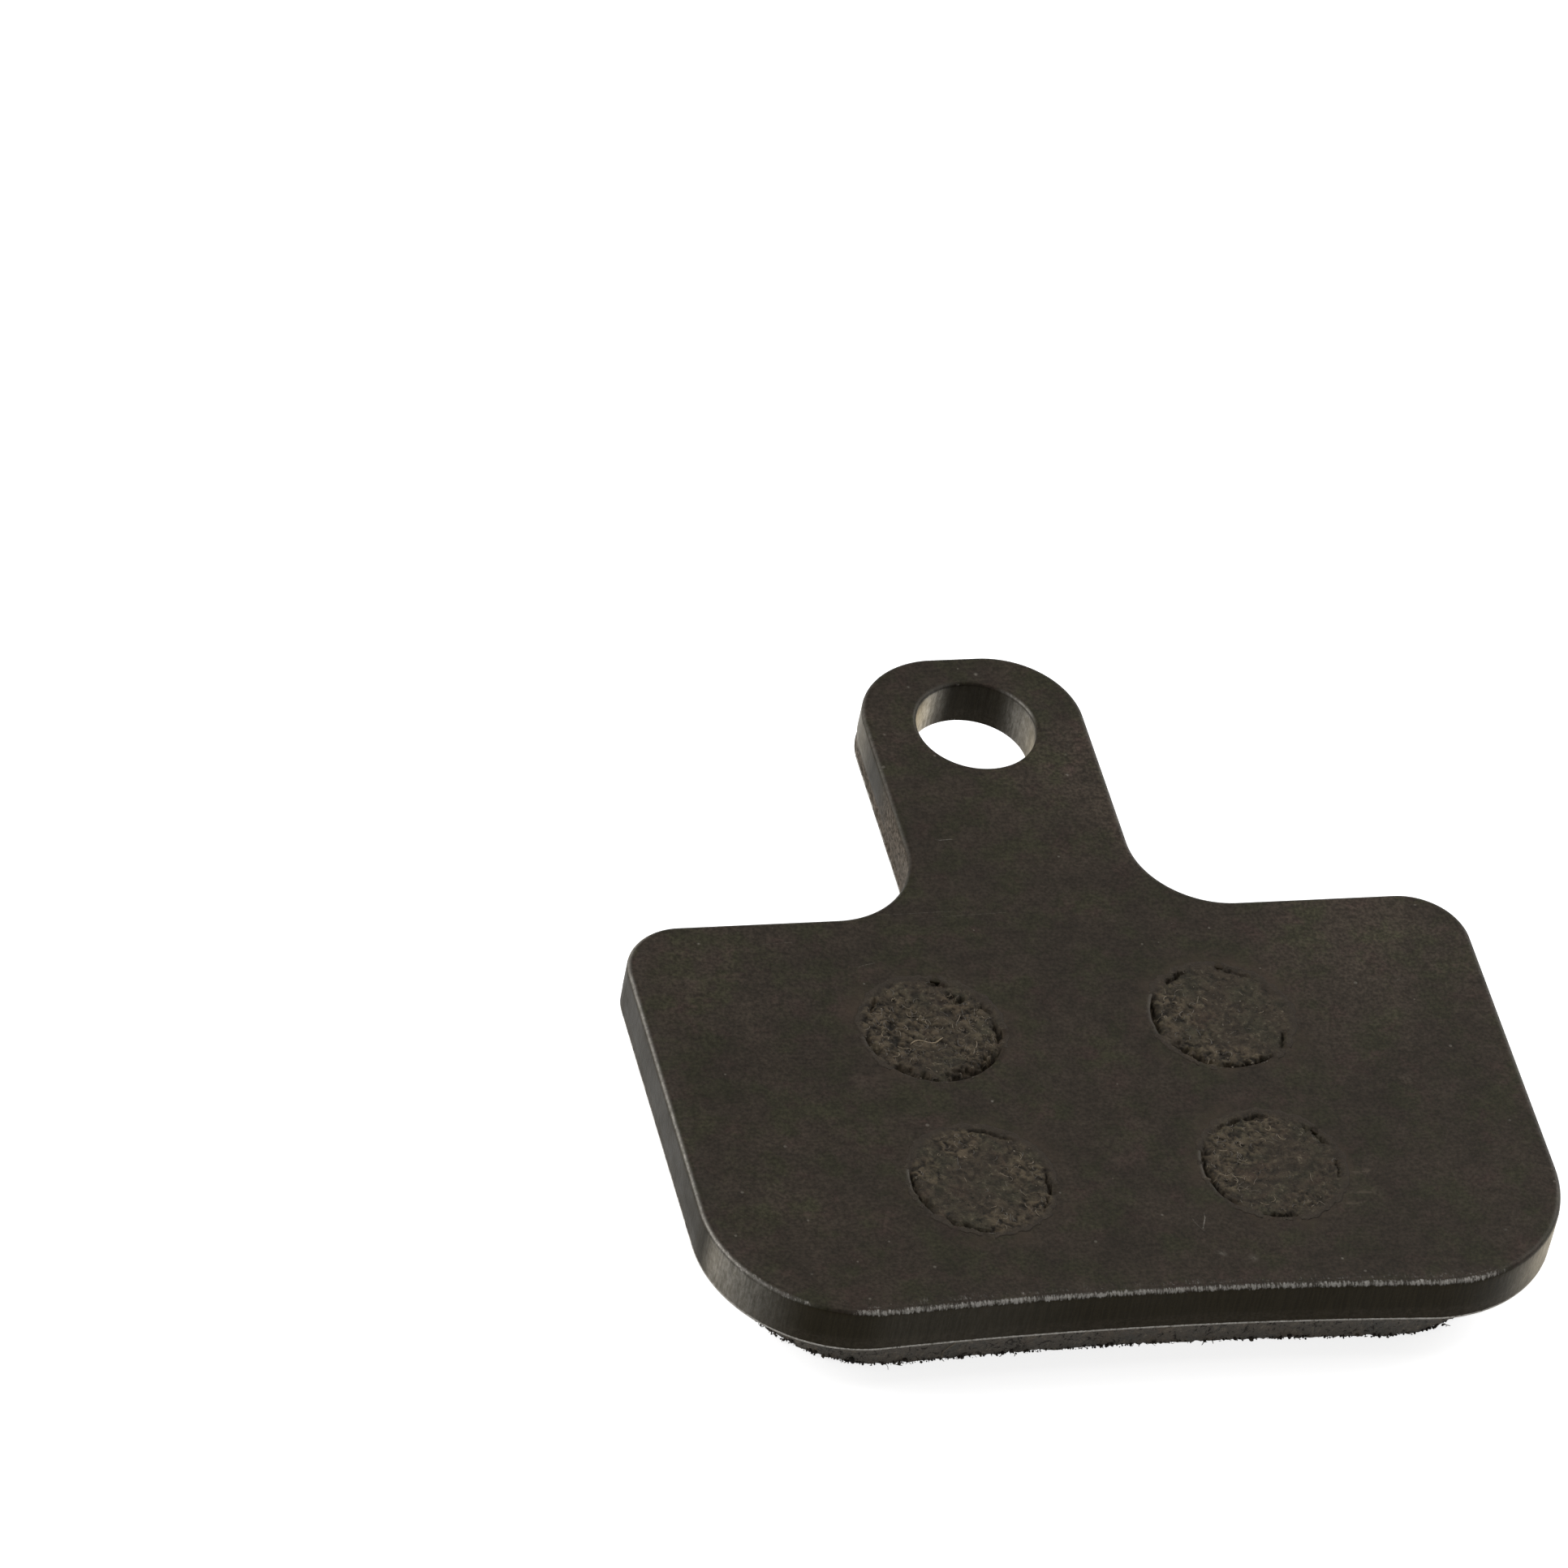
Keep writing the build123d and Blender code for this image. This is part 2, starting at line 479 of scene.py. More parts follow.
for x, y in anchor_centres:
    anchor_outline = hole_outline(x, y, anchor_radius, edge_step, anchor_wobble)
    hole_rings.append(punched_edge(plate_skin, anchor_outline, ANCHOR_ROLL, anchor_scuff, no_sheen))

hole_clearance = 0.4 * MM
mark_step = 0.04 * MM
spot_sides = 9


def clear_of_holes(x, y):
    """Whether a place on the back face lies clear of the rolled rim of every hole."""
    return all(math.hypot(x - cx, y - cy) > r + hole_clearance for cx, cy, r in plate_holes)


def line_mark(skin, mask, strength, x_mm, y_mm, degrees, length_mm, width_mm, bend=0.0):
    """A fine mark along a path on the back face: a marked line of points between two plain ones. It
    bends by so many radians to the millimetre."""
    x, y, width = x_mm * MM, y_mm * MM, width_mm * MM
    heading = math.radians(degrees)
    made = []
    for _ in range(round(length_mm * MM / mark_step)):
        side_x, side_y = -math.sin(heading), math.cos(heading)
        sides = ((-width, 0.0), (0.0, strength), (width, 0.0)) if clear_of_holes(x, y) else ()
        for across, mark in sides:
            spot = (x + across * side_x, y + across * side_y, back_z)
            made += skin.add([spot], haze=haze(x, y), **{mask: mark})
        x += mark_step * math.cos(heading)
        y += mark_step * math.sin(heading)
        heading += bend * mark_step / MM
    return made


def spot_mark(skin, mask, strength, x_mm, y_mm, radius_mm):
    """A round mark on the back face that fades out from its middle."""
    x, y, radius = x_mm * MM, y_mm * MM, radius_mm * MM
    turns = [math.tau * k / spot_sides for k in range(spot_sides)]
    ring = [(x + radius * math.cos(t), y + radius * math.sin(t), back_z) for t in turns]
    paled = haze(x, y)
    return skin.add([(x, y, back_z)], haze=paled, **{mask: strength}) + skin.add(ring, haze=paled)


line_marks = {
    "scratch": [
        (1.0, 2.05, -13.0, 68, 0.55, 0.04), (0.6, 1.8, -12.6, -75, 0.7, 0.025, 0.7),
        (0.7, -2.8, 6.76, 3, 0.5, 0.05), (0.5, -5.6, 3.1, 1, 2.4, 0.03),
        (0.5, -4.4, 2.85, 2, 3.2, 0.03), (0.5, -10.6, 1.9, 2, 1.3, 0.03),
        (0.6, -7.2, 0.6, 12, 0.6, 0.03), (0.5, 11.2, -1.2, -8, 1.1, 0.02),
    ],
    "stain": [
        (0.9, 8.0, -10.7, 2, 0.8, 0.16), (0.7, 7.7, -11.65, -3, 0.9, 0.1),
        (0.8, 7.3, -12.2, 3, 0.9, 0.1),
    ],
}
spot_marks = {
    "scratch": [
        (0.55, 2.4, -14.3, 0.5), (0.5, 3.5, -14.55, 0.45), (1.0, 6.67, -14.8, 0.1),
        (0.8, 14.56, -8.55, 0.1), (0.7, 12.94, -13.84, 0.14), (0.8, 2.75, 9.83, 0.14),
        (0.6, -3.54, 12.32, 0.14), (0.7, -12.8, 2.08, 0.12), (0.8, -4.0, -6.37, 0.13),
        (0.6, -12.4, -14.2, 0.13), (0.8, 0.62, 15.27, 0.16), (0.6, -2.06, 14.75, 0.16),
        (0.5, 2.96, 10.9, 0.2), (0.4, 3.2, 11.4, 0.25),
    ],
    "stain": [(0.75, 11.32, -6.22, 0.34), (0.5, -8.5, -5.0, 0.5)],
}
face_spacing = 0.7 * MM
face_margin = 0.6 * MM
face_points = scattered_inside(Border(plate_outline), plate_holes, face_spacing, face_margin, seed=3)
back_inner = plate_skin.add(
    [(x, y, back_z) for x, y in face_points], haze=[haze(x, y) for x, y in face_points]
)
for make, marks in ((line_mark, line_marks), (spot_mark, spot_marks)):
    for mask, rows in marks.items():
        for row in rows:
            back_inner += make(plate_skin, mask, *row)
front_inner = plate_skin.add([(x, y, front_z) for x, y in face_points], under=1.0)
plate_skin.fill(back_ring, [back for back, _ in hole_rings], back_inner)
plate_skin.fill(front_ring, [front for _, front in hole_rings], front_inner)


# Backing plate: coating.
# A thin baked coating, nearly black with a brown cast, over steel that keeps its fine rolling
# grain. It is rubbed through to bare steel along the lower rim and stained round the plugs.
def place(tree, kind, inputs=(), **settings):
    """A new node, with its settings, and its inputs given as values or as sockets to link."""
    made = tree.nodes.new(kind)
    for name, value in settings.items():
        setattr(made, name, value)
    for name, value in dict(inputs).items():
        if isinstance(value, bpy.types.NodeSocket):
            tree.links.new(value, made.inputs[name])
        else:
            made.inputs[name].default_value = value
    return made


def use_group(tree, group, inputs):
    """A node group placed in a material, with its own values."""
    return place(tree, "ShaderNodeGroup", inputs, node_tree=group)


def math_node(tree, operation, *values, clamp=False):
    """The result of a sum on values or sockets."""
    inputs = dict(enumerate(values))
    return place(tree, "ShaderNodeMath", inputs, operation=operation, use_clamp=clamp).outputs[0]


def mix_colour(tree, factor, first, second, blend="MIX"):
    """Two colours mixed by a factor."""
    inputs = {0: factor, 6: first, 7: second}
    return place(tree, "ShaderNodeMix", inputs, data_type="RGBA", blend_type=blend).outputs[2]


def remap(tree, value, low, high, to_low=0.0, to_high=1.0):
    """A value stretched from one range to another, held at the ends."""
    inputs = {"Value": value, "From Min": low, "From Max": high, "To Min": to_low, "To Max": to_high}
    return place(tree, "ShaderNodeMapRange", inputs, interpolation_type="SMOOTHSTEP").outputs["Result"]


def noise_value(tree, vector, per_mm, detail, roughness=0.5, distortion=0.0, **settings):
    """Noise of about one half, with so many lumps to the millimetre."""
    inputs = {
        "Vector": vector, "Scale": per_mm, "Detail": detail, "Roughness": roughness,
        "Distortion": distortion,
    }
    return place(tree, "ShaderNodeTexNoise", inputs, **settings).outputs["Fac"]


def stretched(tree, vector, factors):
    """A place with each of its three parts multiplied by a factor."""
    return place(tree, "ShaderNodeVectorMath", {0: vector, 1: factors}, operation="MULTIPLY").outputs[0]


def mask_value(tree, name):
    """A mask that the mesh carries at its points."""
    return place(tree, "ShaderNodeAttribute", attribute_name=name).outputs["Fac"]


def colour(red, green, blue):
    """A linear colour with full alpha."""
    return (red, green, blue, 1.0)


def new_group(name, inputs, outputs):
    """A shader node group with named sockets. Returns its tree, its given sockets and its results."""
    kinds = {"value": "NodeSocketFloat", "colour": "NodeSocketColor", "vector": "NodeSocketVector"}
    tree = bpy.data.node_groups.new(name, "ShaderNodeTree")
    for socket, (kind, default) in inputs.items():
        made = tree.interface.new_socket(socket, in_out="INPUT", socket_type=kinds[kind])
        if default is not None:
            made.default_value = default
    for socket, kind in outputs.items():
        tree.interface.new_socket(socket, in_out="OUTPUT", socket_type=kinds[kind])
    given = tree.nodes.new("NodeGroupInput").outputs
    results = tree.nodes.new("NodeGroupOutput").inputs
    return tree, given, results


def mottle_group():
    """Three colours that drift into each other in soft patches."""
    grey = colour(0.03, 0.03, 0.03)
    tree, given, results = new_group(
        "mottle",
        {
            "Vector": ("vector", None),
            "Per Millimetre": ("value", 0.3),
            "Ground": ("colour", grey),
            "Cool": ("colour", grey),
            "Warm": ("colour", grey),
        },
        {"Color": "colour"},
    )
    aside = place(tree, "ShaderNodeVectorMath", {0: given["Vector"], 1: (17.3, -8.1, 4.7)}).outputs[0]
    cool_patches = noise_value(tree, given["Vector"], given["Per Millimetre"], 5.0, 0.62)
    warm_patches = noise_value(tree, aside, given["Per Millimetre"], 6.0, 0.68)
    cooled = mix_colour(tree, remap(tree, cool_patches, 0.44, 0.64), given["Ground"], given["Cool"])
    warmed = mix_colour(tree, remap(tree, warm_patches, 0.5, 0.68), cooled, given["Warm"])
    tree.links.new(warmed, results["Color"])
    return tree


def specks_group():
    """Small separate spots of uneven size: a mask that is 1 on a spot."""
    tree, given, results = new_group(
        "specks",
        {
            "Vector": ("vector", None),
            "Per Millimetre": ("value", 2.0),
            "Share": ("value", 0.1),
            "Size": ("value", 0.2),
        },
        {"Mask": "value"},
    )
    cells = place(tree, "ShaderNodeTexVoronoi", {
        "Vector": given["Vector"], "Scale": given["Per Millimetre"],
    }).outputs
    parts = place(tree, "ShaderNodeSeparateColor", {"Color": cells["Color"]}).outputs
    chosen = math_node(tree, "LESS_THAN", parts[0], given["Share"])
    uneven = math_node(tree, "MULTIPLY_ADD", parts[1], 0.7, 0.3)
    reach = math_node(tree, "MULTIPLY", uneven, given["Size"])
    spot = remap(tree, math_node(tree, "DIVIDE", cells["Distance"], reach), 1.0, 0.6)
    tree.links.new(math_node(tree, "MULTIPLY", spot, chosen), results["Mask"])
    return tree


def grain_group():
    """Fine parallel grain along X, as left by rolling: a value about one half."""
    tree, given, results = new_group(
        "rolling_grain",
        {"Vector": ("vector", None), "Per Millimetre": ("value", 8.0), "Stretch": ("value", 0.06)},
        {"Value": "value"},
    )
    factors = place(tree, "ShaderNodeCombineXYZ", {"X": given["Stretch"], "Y": 1.0, "Z": 1.0}).outputs[0]
    along = stretched(tree, given["Vector"], factors)
    tree.links.new(noise_value(tree, along, given["Per Millimetre"], 3.0, 0.6), results["Value"])
    return tree


mottle = mottle_group()
specks = specks_group()
rolling_grain = grain_group()


def new_material(name):
    """A material with a bare Principled shader, and the place on the pad in millimetres."""
    made = bpy.data.materials.new(name)
    made.use_nodes = True
    tree = made.node_tree
    shader = tree.nodes["Principled BSDF"].inputs
    where = place(tree, "ShaderNodeTexCoord").outputs["Object"]
    in_mm = stretched(tree, where, (1 / MM, 1 / MM, 1 / MM))
    return made, tree, shader, in_mm


def add_bump(tree, shader, height, distance):
    """Roughens a material's surface by a height."""
    bump = place(tree, "ShaderNodeBump", {"Height": height, "Distance": distance, "Strength": 1.0})
    tree.links.new(bump.outputs["Normal"], shader["Normal"])


coat_ground = colour(0.0268, 0.0207, 0.0156)
coat_cool = colour(0.0234, 0.0220, 0.0127)
coat_warm = colour(0.0308, 0.0209, 0.0170)
resin_brown = colour(0.046, 0.033, 0.023)
dust_grey = colour(0.18, 0.165, 0.14)
scratch_grey = colour(0.2, 0.185, 0.16)
stain_tan = colour(0.076, 0.060, 0.045)
wall_dark, wall_light = colour(0.0150, 0.0121, 0.0065), colour(0.0235, 0.0190, 0.0104)
tear_dark, tear_light = colour(0.036, 0.029, 0.021), colour(0.185, 0.154, 0.122)
under_dark, under_light = colour(0.030, 0.026, 0.022), colour(0.066, 0.058, 0.050)
steel_dark, steel_light = colour(0.235, 0.224, 0.199), colour(0.41, 0.392, 0.361)
halo_reach = 1.3
coat_relief = 0.01 * MM


def patchy_coat(tree, in_mm, grain, grit, blotch):
    """The coating's colour on the face: mottled, grainy, and lighter in broad patches."""
    coat = use_group(tree, mottle, {
        "Vector": in_mm, "Per Millimetre": 0.7, "Ground": coat_ground, "Cool": coat_cool, "Warm": coat_warm,
    }).outputs["Color"]
    smudge = noise_value(tree, in_mm, per_mm=1.7, detail=4.0, roughness=0.6)
    shade = remap(tree, grain, 0.3, 0.7, 0.92, 1.08)
    for pattern in (
        remap(tree, grit, 0.3, 0.7, 0.62, 1.40),
        remap(tree, blotch, 0.34, 0.66, 0.82, 1.18),
        remap(tree, smudge, 0.35, 0.65, 0.87, 1.13),
    ):
        shade = math_node(tree, "MULTIPLY", shade, pattern)
    paled = math_node(tree, "MULTIPLY", mask_value(tree, "haze"), remap(tree, grit, 0.3, 0.7, 0.25, 0.95))
    shade = math_node(tree, "MULTIPLY", shade, math_node(tree, "MULTIPLY_ADD", paled, 0.9, 1.0))
    return mix_colour(tree, 1.0, coat, shade, "MULTIPLY")


def plug_halo(tree, in_mm):
    """How far resin from the nearest plug has stained the coating round it."""
    apart = place(tree, "ShaderNodeSeparateXYZ", {"Vector": in_mm}).outputs
    off_x = math_node(tree, "SUBTRACT", math_node(tree, "ABSOLUTE", apart["X"]), anchor_half_x / MM)
    from_middle = math_node(tree, "SUBTRACT", apart["Y"], body_y / MM)
    off_y = math_node(tree, "SUBTRACT", math_node(tree, "ABSOLUTE", from_middle), anchor_half_y / MM)
    off = place(tree, "ShaderNodeCombineXYZ", {"X": off_x, "Y": off_y}).outputs[0]
    from_plug = place(tree, "ShaderNodeVectorMath", {0: off}, operation="LENGTH").outputs["Value"]
    halo = remap(tree, from_plug, anchor_radius / MM + halo_reach, anchor_radius / MM)
    patches = noise_value(tree, in_mm, per_mm=0.9, detail=4.0)
    halo = math_node(tree, "MULTIPLY", halo, remap(tree, patches, 0.4, 0.7))
    return math_node(tree, "MULTIPLY", halo, 0.75)


def marked_coat(tree, coat, in_mm, grit):
    """The coating with resin stains, dust, scratches and spots on it."""
    coat = mix_colour(tree, plug_halo(tree, in_mm), coat, resin_brown)
    dust = use_group(tree, specks, {
        "Vector": in_mm, "Per Millimetre": 1.5, "Share": 0.12, "Size": 0.13,
    }).outputs["Mask"]
    coat = mix_colour(tree, math_node(tree, "MULTIPLY", dust, 0.4), coat, dust_grey)
    scratch = remap(tree, mask_value(tree, "scratch"), 0.2, 0.9)
    scratch = math_node(tree, "MULTIPLY", scratch, remap(tree, grit, 0.35, 0.6, 0.2, 0.8))
    coat = mix_colour(tree, scratch, coat, scratch_grey)
    stain = math_node(tree, "MULTIPLY", mask_value(tree, "stain"), remap(tree, grit, 0.35, 0.6, 0.1, 0.9))
    return mix_colour(tree, stain, coat, stain_tan)


def worn_and_highlit_steel(tree, in_mm):
    """Where a rim is rubbed through, in chips and fine nicks, and the colour of the steel there; on the
    arris and round the anchor holes the mask is partly a painted highlight.
    """
    scuffed = mask_value(tree, "scuffed")
    chips = noise_value(tree, in_mm, per_mm=2.6, detail=8.0, roughness=0.85)
    across = stretched(tree, in_mm, (1.0, 0.3, 0.3))
    nicks = noise_value(tree, across, per_mm=12.0, detail=4.0, roughness=0.75)
    worn = math_node(tree, "MULTIPLY_ADD", math_node(tree, "SUBTRACT", chips, 0.515), 3.2, scuffed)
    worn = math_node(tree, "MULTIPLY_ADD", math_node(tree, "SUBTRACT", nicks, 0.5), 3.2, worn)
    bare = math_node(tree, "MULTIPLY", remap(tree, worn, 0.35, 1.35), remap(tree, scuffed, 0.15, 0.5))
    return bare, mix_colour(tree, remap(tree, nicks, 0.34, 0.66), steel_dark, steel_light)


def plate_coating(name, shine, cast):
    """Black coating on steel, with how much it shines and the cast of its reflections."""
    made, tree, shader, in_mm = new_material(name)
    grain = use_group(tree, rolling_grain, {"Vector": in_mm}).outputs["Value"]
    grit = noise_value(tree, in_mm, per_mm=7.5, detail=3.0, roughness=0.7)
    blotch = noise_value(tree, in_mm, per_mm=0.4, detail=6.0, roughness=0.62)
    tear = noise_value(tree, in_mm, per_mm=5.5, detail=6.0, roughness=0.72)
    drag = noise_value(tree, stretched(tree, in_mm, (1.0, 1.0, 0.07)), per_mm=9.0, detail=4.0, roughness=0.7)
    edge, torn, under = (mask_value(tree, mask) for mask in ("edge", "torn", "under"))

    coat = marked_coat(tree, patchy_coat(tree, in_mm, grain, grit, blotch), in_mm, grit)
    for mask, share, dark, light in (
        (edge, remap(tree, drag, 0.35, 0.65), wall_dark, wall_light),
        (torn, remap(tree, tear, 0.36, 0.68), tear_dark, tear_light),
        (under, remap(tree, grit, 0.32, 0.68), under_dark, under_light),
    ):
        coat = mix_colour(tree, mask, coat, mix_colour(tree, share, dark, light))
    # Where the sheen mask is set, walls and rims are painted as bright metal: partly burnished steel, partly
    # painted reflection and painted highlight.
    streaks = remap(tree, drag, 0.36, 0.64, 0.72, 1.0)
    polished = math_node(tree, "MULTIPLY", mask_value(tree, "polished"), streaks, clamp=True)
    bare, steel = worn_and_highlit_steel(tree, in_mm)
    bare = math_node(tree, "MAXIMUM", bare, polished)
    tree.links.new(mix_colour(tree, bare, coat, steel), shader["Base Color"])
    metal = math_node(tree, "MAXIMUM", math_node(tree, "MULTIPLY", bare, 0.3), polished)
    tree.links.new(metal, shader["Metallic"])

    rough = remap(tree, blotch, 0.3, 0.7, 0.55, 0.43)
    for mask, change in ((edge, -0.05), (polished, -0.1), (torn, 0.22), (under, 0.25)):
        rough = math_node(tree, "MULTIPLY_ADD", mask, change, rough)
    tree.links.new(rough, shader["Roughness"])

    lines = place(tree, "ShaderNodeMix", {"Factor": edge, "A": grain, "B": drag}).outputs["Result"]
    height = math_node(tree, "MULTIPLY_ADD", lines, 0.35, math_node(tree, "MULTIPLY", grit, 0.9))
    for mask, coarse in ((torn, 3.5), (under, 2.0)):
        height = math_node(tree, "MULTIPLY_ADD", math_node(tree, "MULTIPLY", mask, tear), coarse, height)
    height = math_node(tree, "MULTIPLY_ADD", bare, -0.8, height)
    add_bump(tree, shader, height, coat_relief)
    shader["Specular IOR Level"].default_value = shine
    shader["Specular Tint"].default_value = cast
    return made


face_coating = plate_coating("face_coating", 0.2, colour(1.0, 0.90, 0.74))
wall_coating = plate_coating("wall_coating", 0.05, colour(1.0, 0.87, 0.64))
plate = plate_skin.build("plate_blank", [face_coating, wall_coating], sharp_degrees=40)
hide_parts("backing_plate")
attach(plate, "root")

# Friction block and plugs.
# Resin, fibres and mineral grains pressed hot onto the plate in one piece, ground on the rubbing
# face and smooth from the mould on the wall. In the anchor holes it ends in crumbling plugs.
block_low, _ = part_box("friction_block")
rubbing_z = block_low.z
block_half_width = half_width - 1.55 * MM
block_lower_margin = 1.1 * MM
block_upper_y = shoulder_y - 1.7 * MM
block_lower_radius = 4.9 * MM
block_upper_radius = 3.9 * MM
block_crown = 0.45 * MM
block_hollow_radius = hollow_radius + block_lower_margin
block_lower_x = block_half_width - block_lower_radius
block_lower_reach = block_hollow_radius + block_lower_radius
block_lower_centre_y = hollow_centre_y + math.sqrt(block_lower_reach**2 - block_lower_x**2)
block_lower_slant = math.degrees(math.asin(block_lower_x / block_lower_reach))
block_lower_y = block_lower_centre_y - block_lower_radius
block_upper_x = block_half_width - block_upper_radius
block_upper_reach = (block_upper_x**2 + block_crown**2) / (2 * block_crown)
crown_radius = block_upper_reach + block_upper_radius
crown_centre_y = block_upper_y - crown_radius
block_upper_centre_y = crown_centre_y + math.sqrt(block_upper_reach**2 - block_upper_x**2)
crown_slant = math.degrees(math.asin(block_upper_x / block_upper_reach))
block_outline = arc_outline(
    [
        (-block_lower_x, block_lower_centre_y, block_lower_radius, 180, 270 + block_lower_slant),
        (0, hollow_centre_y, block_hollow_radius, 90 + block_lower_slant, 90 - block_lower_slant),
        (block_lower_x, block_lower_centre_y, block_lower_radius, 270 - block_lower_slant, 360),
        (block_upper_x, block_upper_centre_y, block_upper_radius, 0, 90 - crown_slant),
        (0, crown_centre_y, crown_radius, 90 - crown_slant, 90 + crown_slant),
        (-block_upper_x, block_upper_centre_y, block_upper_radius, 90 + crown_slant, 180),
    ],
    edge_step,
)
block_border = Border(block_outline)
RUBBED, PRESSED, BROKEN = 0, 1, 2
rim_break = 0.03 * MM
rim_height = 0.08 * MM
lip_drop = 0.3 * MM
lip_reach = 0.07 * MM
foot_setback = 0.15 * MM


def block_profile():
    """The block's wall from the rubbing face to the plate, as (inset, z, ragged, lip share)."""
    rim_z = rubbing_z + rim_height
    lip_z = front_z - lip_drop
    wall_height = lip_z - rubbing_z - 0.25 * MM
    wall_steps = 12
    profile = [
        (rim_break, rubbing_z + 0.012 * MM, 2.2, 0),
        (0.012 * MM, rubbing_z + 0.03 * MM, 2.5, 0),
        (0.0, rim_z, 1.8, 0),
    ]
    for k in range(1, wall_steps + 1):
        profile.append((0, rim_z + wall_height * k / wall_steps, 0.35, 0))
    profile += [
        (-0.4 * lip_reach, lip_z - 0.1 * MM, 0.5, 0.5),
        (-lip_reach, lip_z - 0.05 * MM, 0.8, 1),
        (-0.6 * lip_reach, lip_z, 1.0, 1),
        (0.5 * foot_setback, lip_z + 0.04 * MM, 1.0, 0.2),
        (foot_setback, lip_z + 0.1 * MM, 1.6, 0),
        (foot_setback, lip_z + 0.2 * MM, 1.6, 0),
        (0.8 * foot_setback, front_z, 0.5, 0),
    ]
    return profile


ragged_relief = 0.04 * MM
ragged_grain = 0.22 * MM


def ragged_ring(skin, inset, z, ragged, lip):
    """A ring round the block, with its points shaken inwards by the compound's grain."""
    points = []
    for x, y, nx, ny in block_outline:
        rough = noise.fractal(Vector((x, y, z)) / ragged_grain, 0.8, 2.1, 4)
        rough += 0.7 * noise.noise(Vector((x, y, 0)) / (4 * ragged_grain))
        reach = inset + ragged * ragged_relief * max(0.0, 0.45 + rough)
        points.append((x - nx * reach, y - ny * reach, z))
    return skin.add(points, lip=lip)


pit_count = 260
pit_draw = random.Random(11)
pits = [
    (
        pit_draw.uniform(-block_half_width, block_half_width),
        pit_draw.uniform(block_lower_y, block_upper_y),
        pit_draw.uniform(0.08, 0.32) * MM,
        pit_draw.uniform(0.03, 0.12) * MM,
    )
    for _ in range(pit_count)
]
pit_tree = kdtree.KDTree(pit_count)
for i, pit in enumerate(pits):
    pit_tree.insert((pit[0], pit[1], 0), i)
pit_tree.balance()
face_relief = 0.03 * MM
face_grain = 0.5 * MM
pit_edge_grain = 0.1 * MM


def rubbing_relief(x, y):
    """How far the ground face lies above the plane that it rubs on: grain and torn-out pits."""
    spot = Vector((x, y, 0))
    height = face_relief * (1 + noise.fractal(spot / face_grain, 0.6, 2.3, 5))
    for _, i, distance in pit_tree.find_n((x, y, 0), 3):
        _, _, radius, depth = pits[i]
        edge = radius * (1 + 0.35 * noise.noise(spot / pit_edge_grain))
        height += depth * ramp(-distance, -edge, -0.4 * edge)
    return max(0.0, height)


def dish_inset(drop):
    """How far the rolled rim of an anchor hole has opened out at a depth below the back face."""
    width, depth = ANCHOR_ROLL
    if drop >= depth:
        return 0.0
    return width * (1 - math.sin(math.acos(1 - drop / depth)))


smear_height = 0.004 * MM
smear_reach = 0.15 * MM
least_sink = 0.004 * MM
open_gap = 0.1 * MM
patch_grain = 0.6 * MM
patch_raggedness = 0.7 * MM
torn_grain = 0.3 * MM
lump_grain = 0.7 * MM
smear_grain = 0.4 * MM
gap_grain = 0.26 * MM
gap_edge = 0.08 * MM
gap_wander = ((0.12 * MM, 0.4 * MM), (0.09 * MM, 0.12 * MM))
swirl_seed = 7
noise.seed_set(swirl_seed)


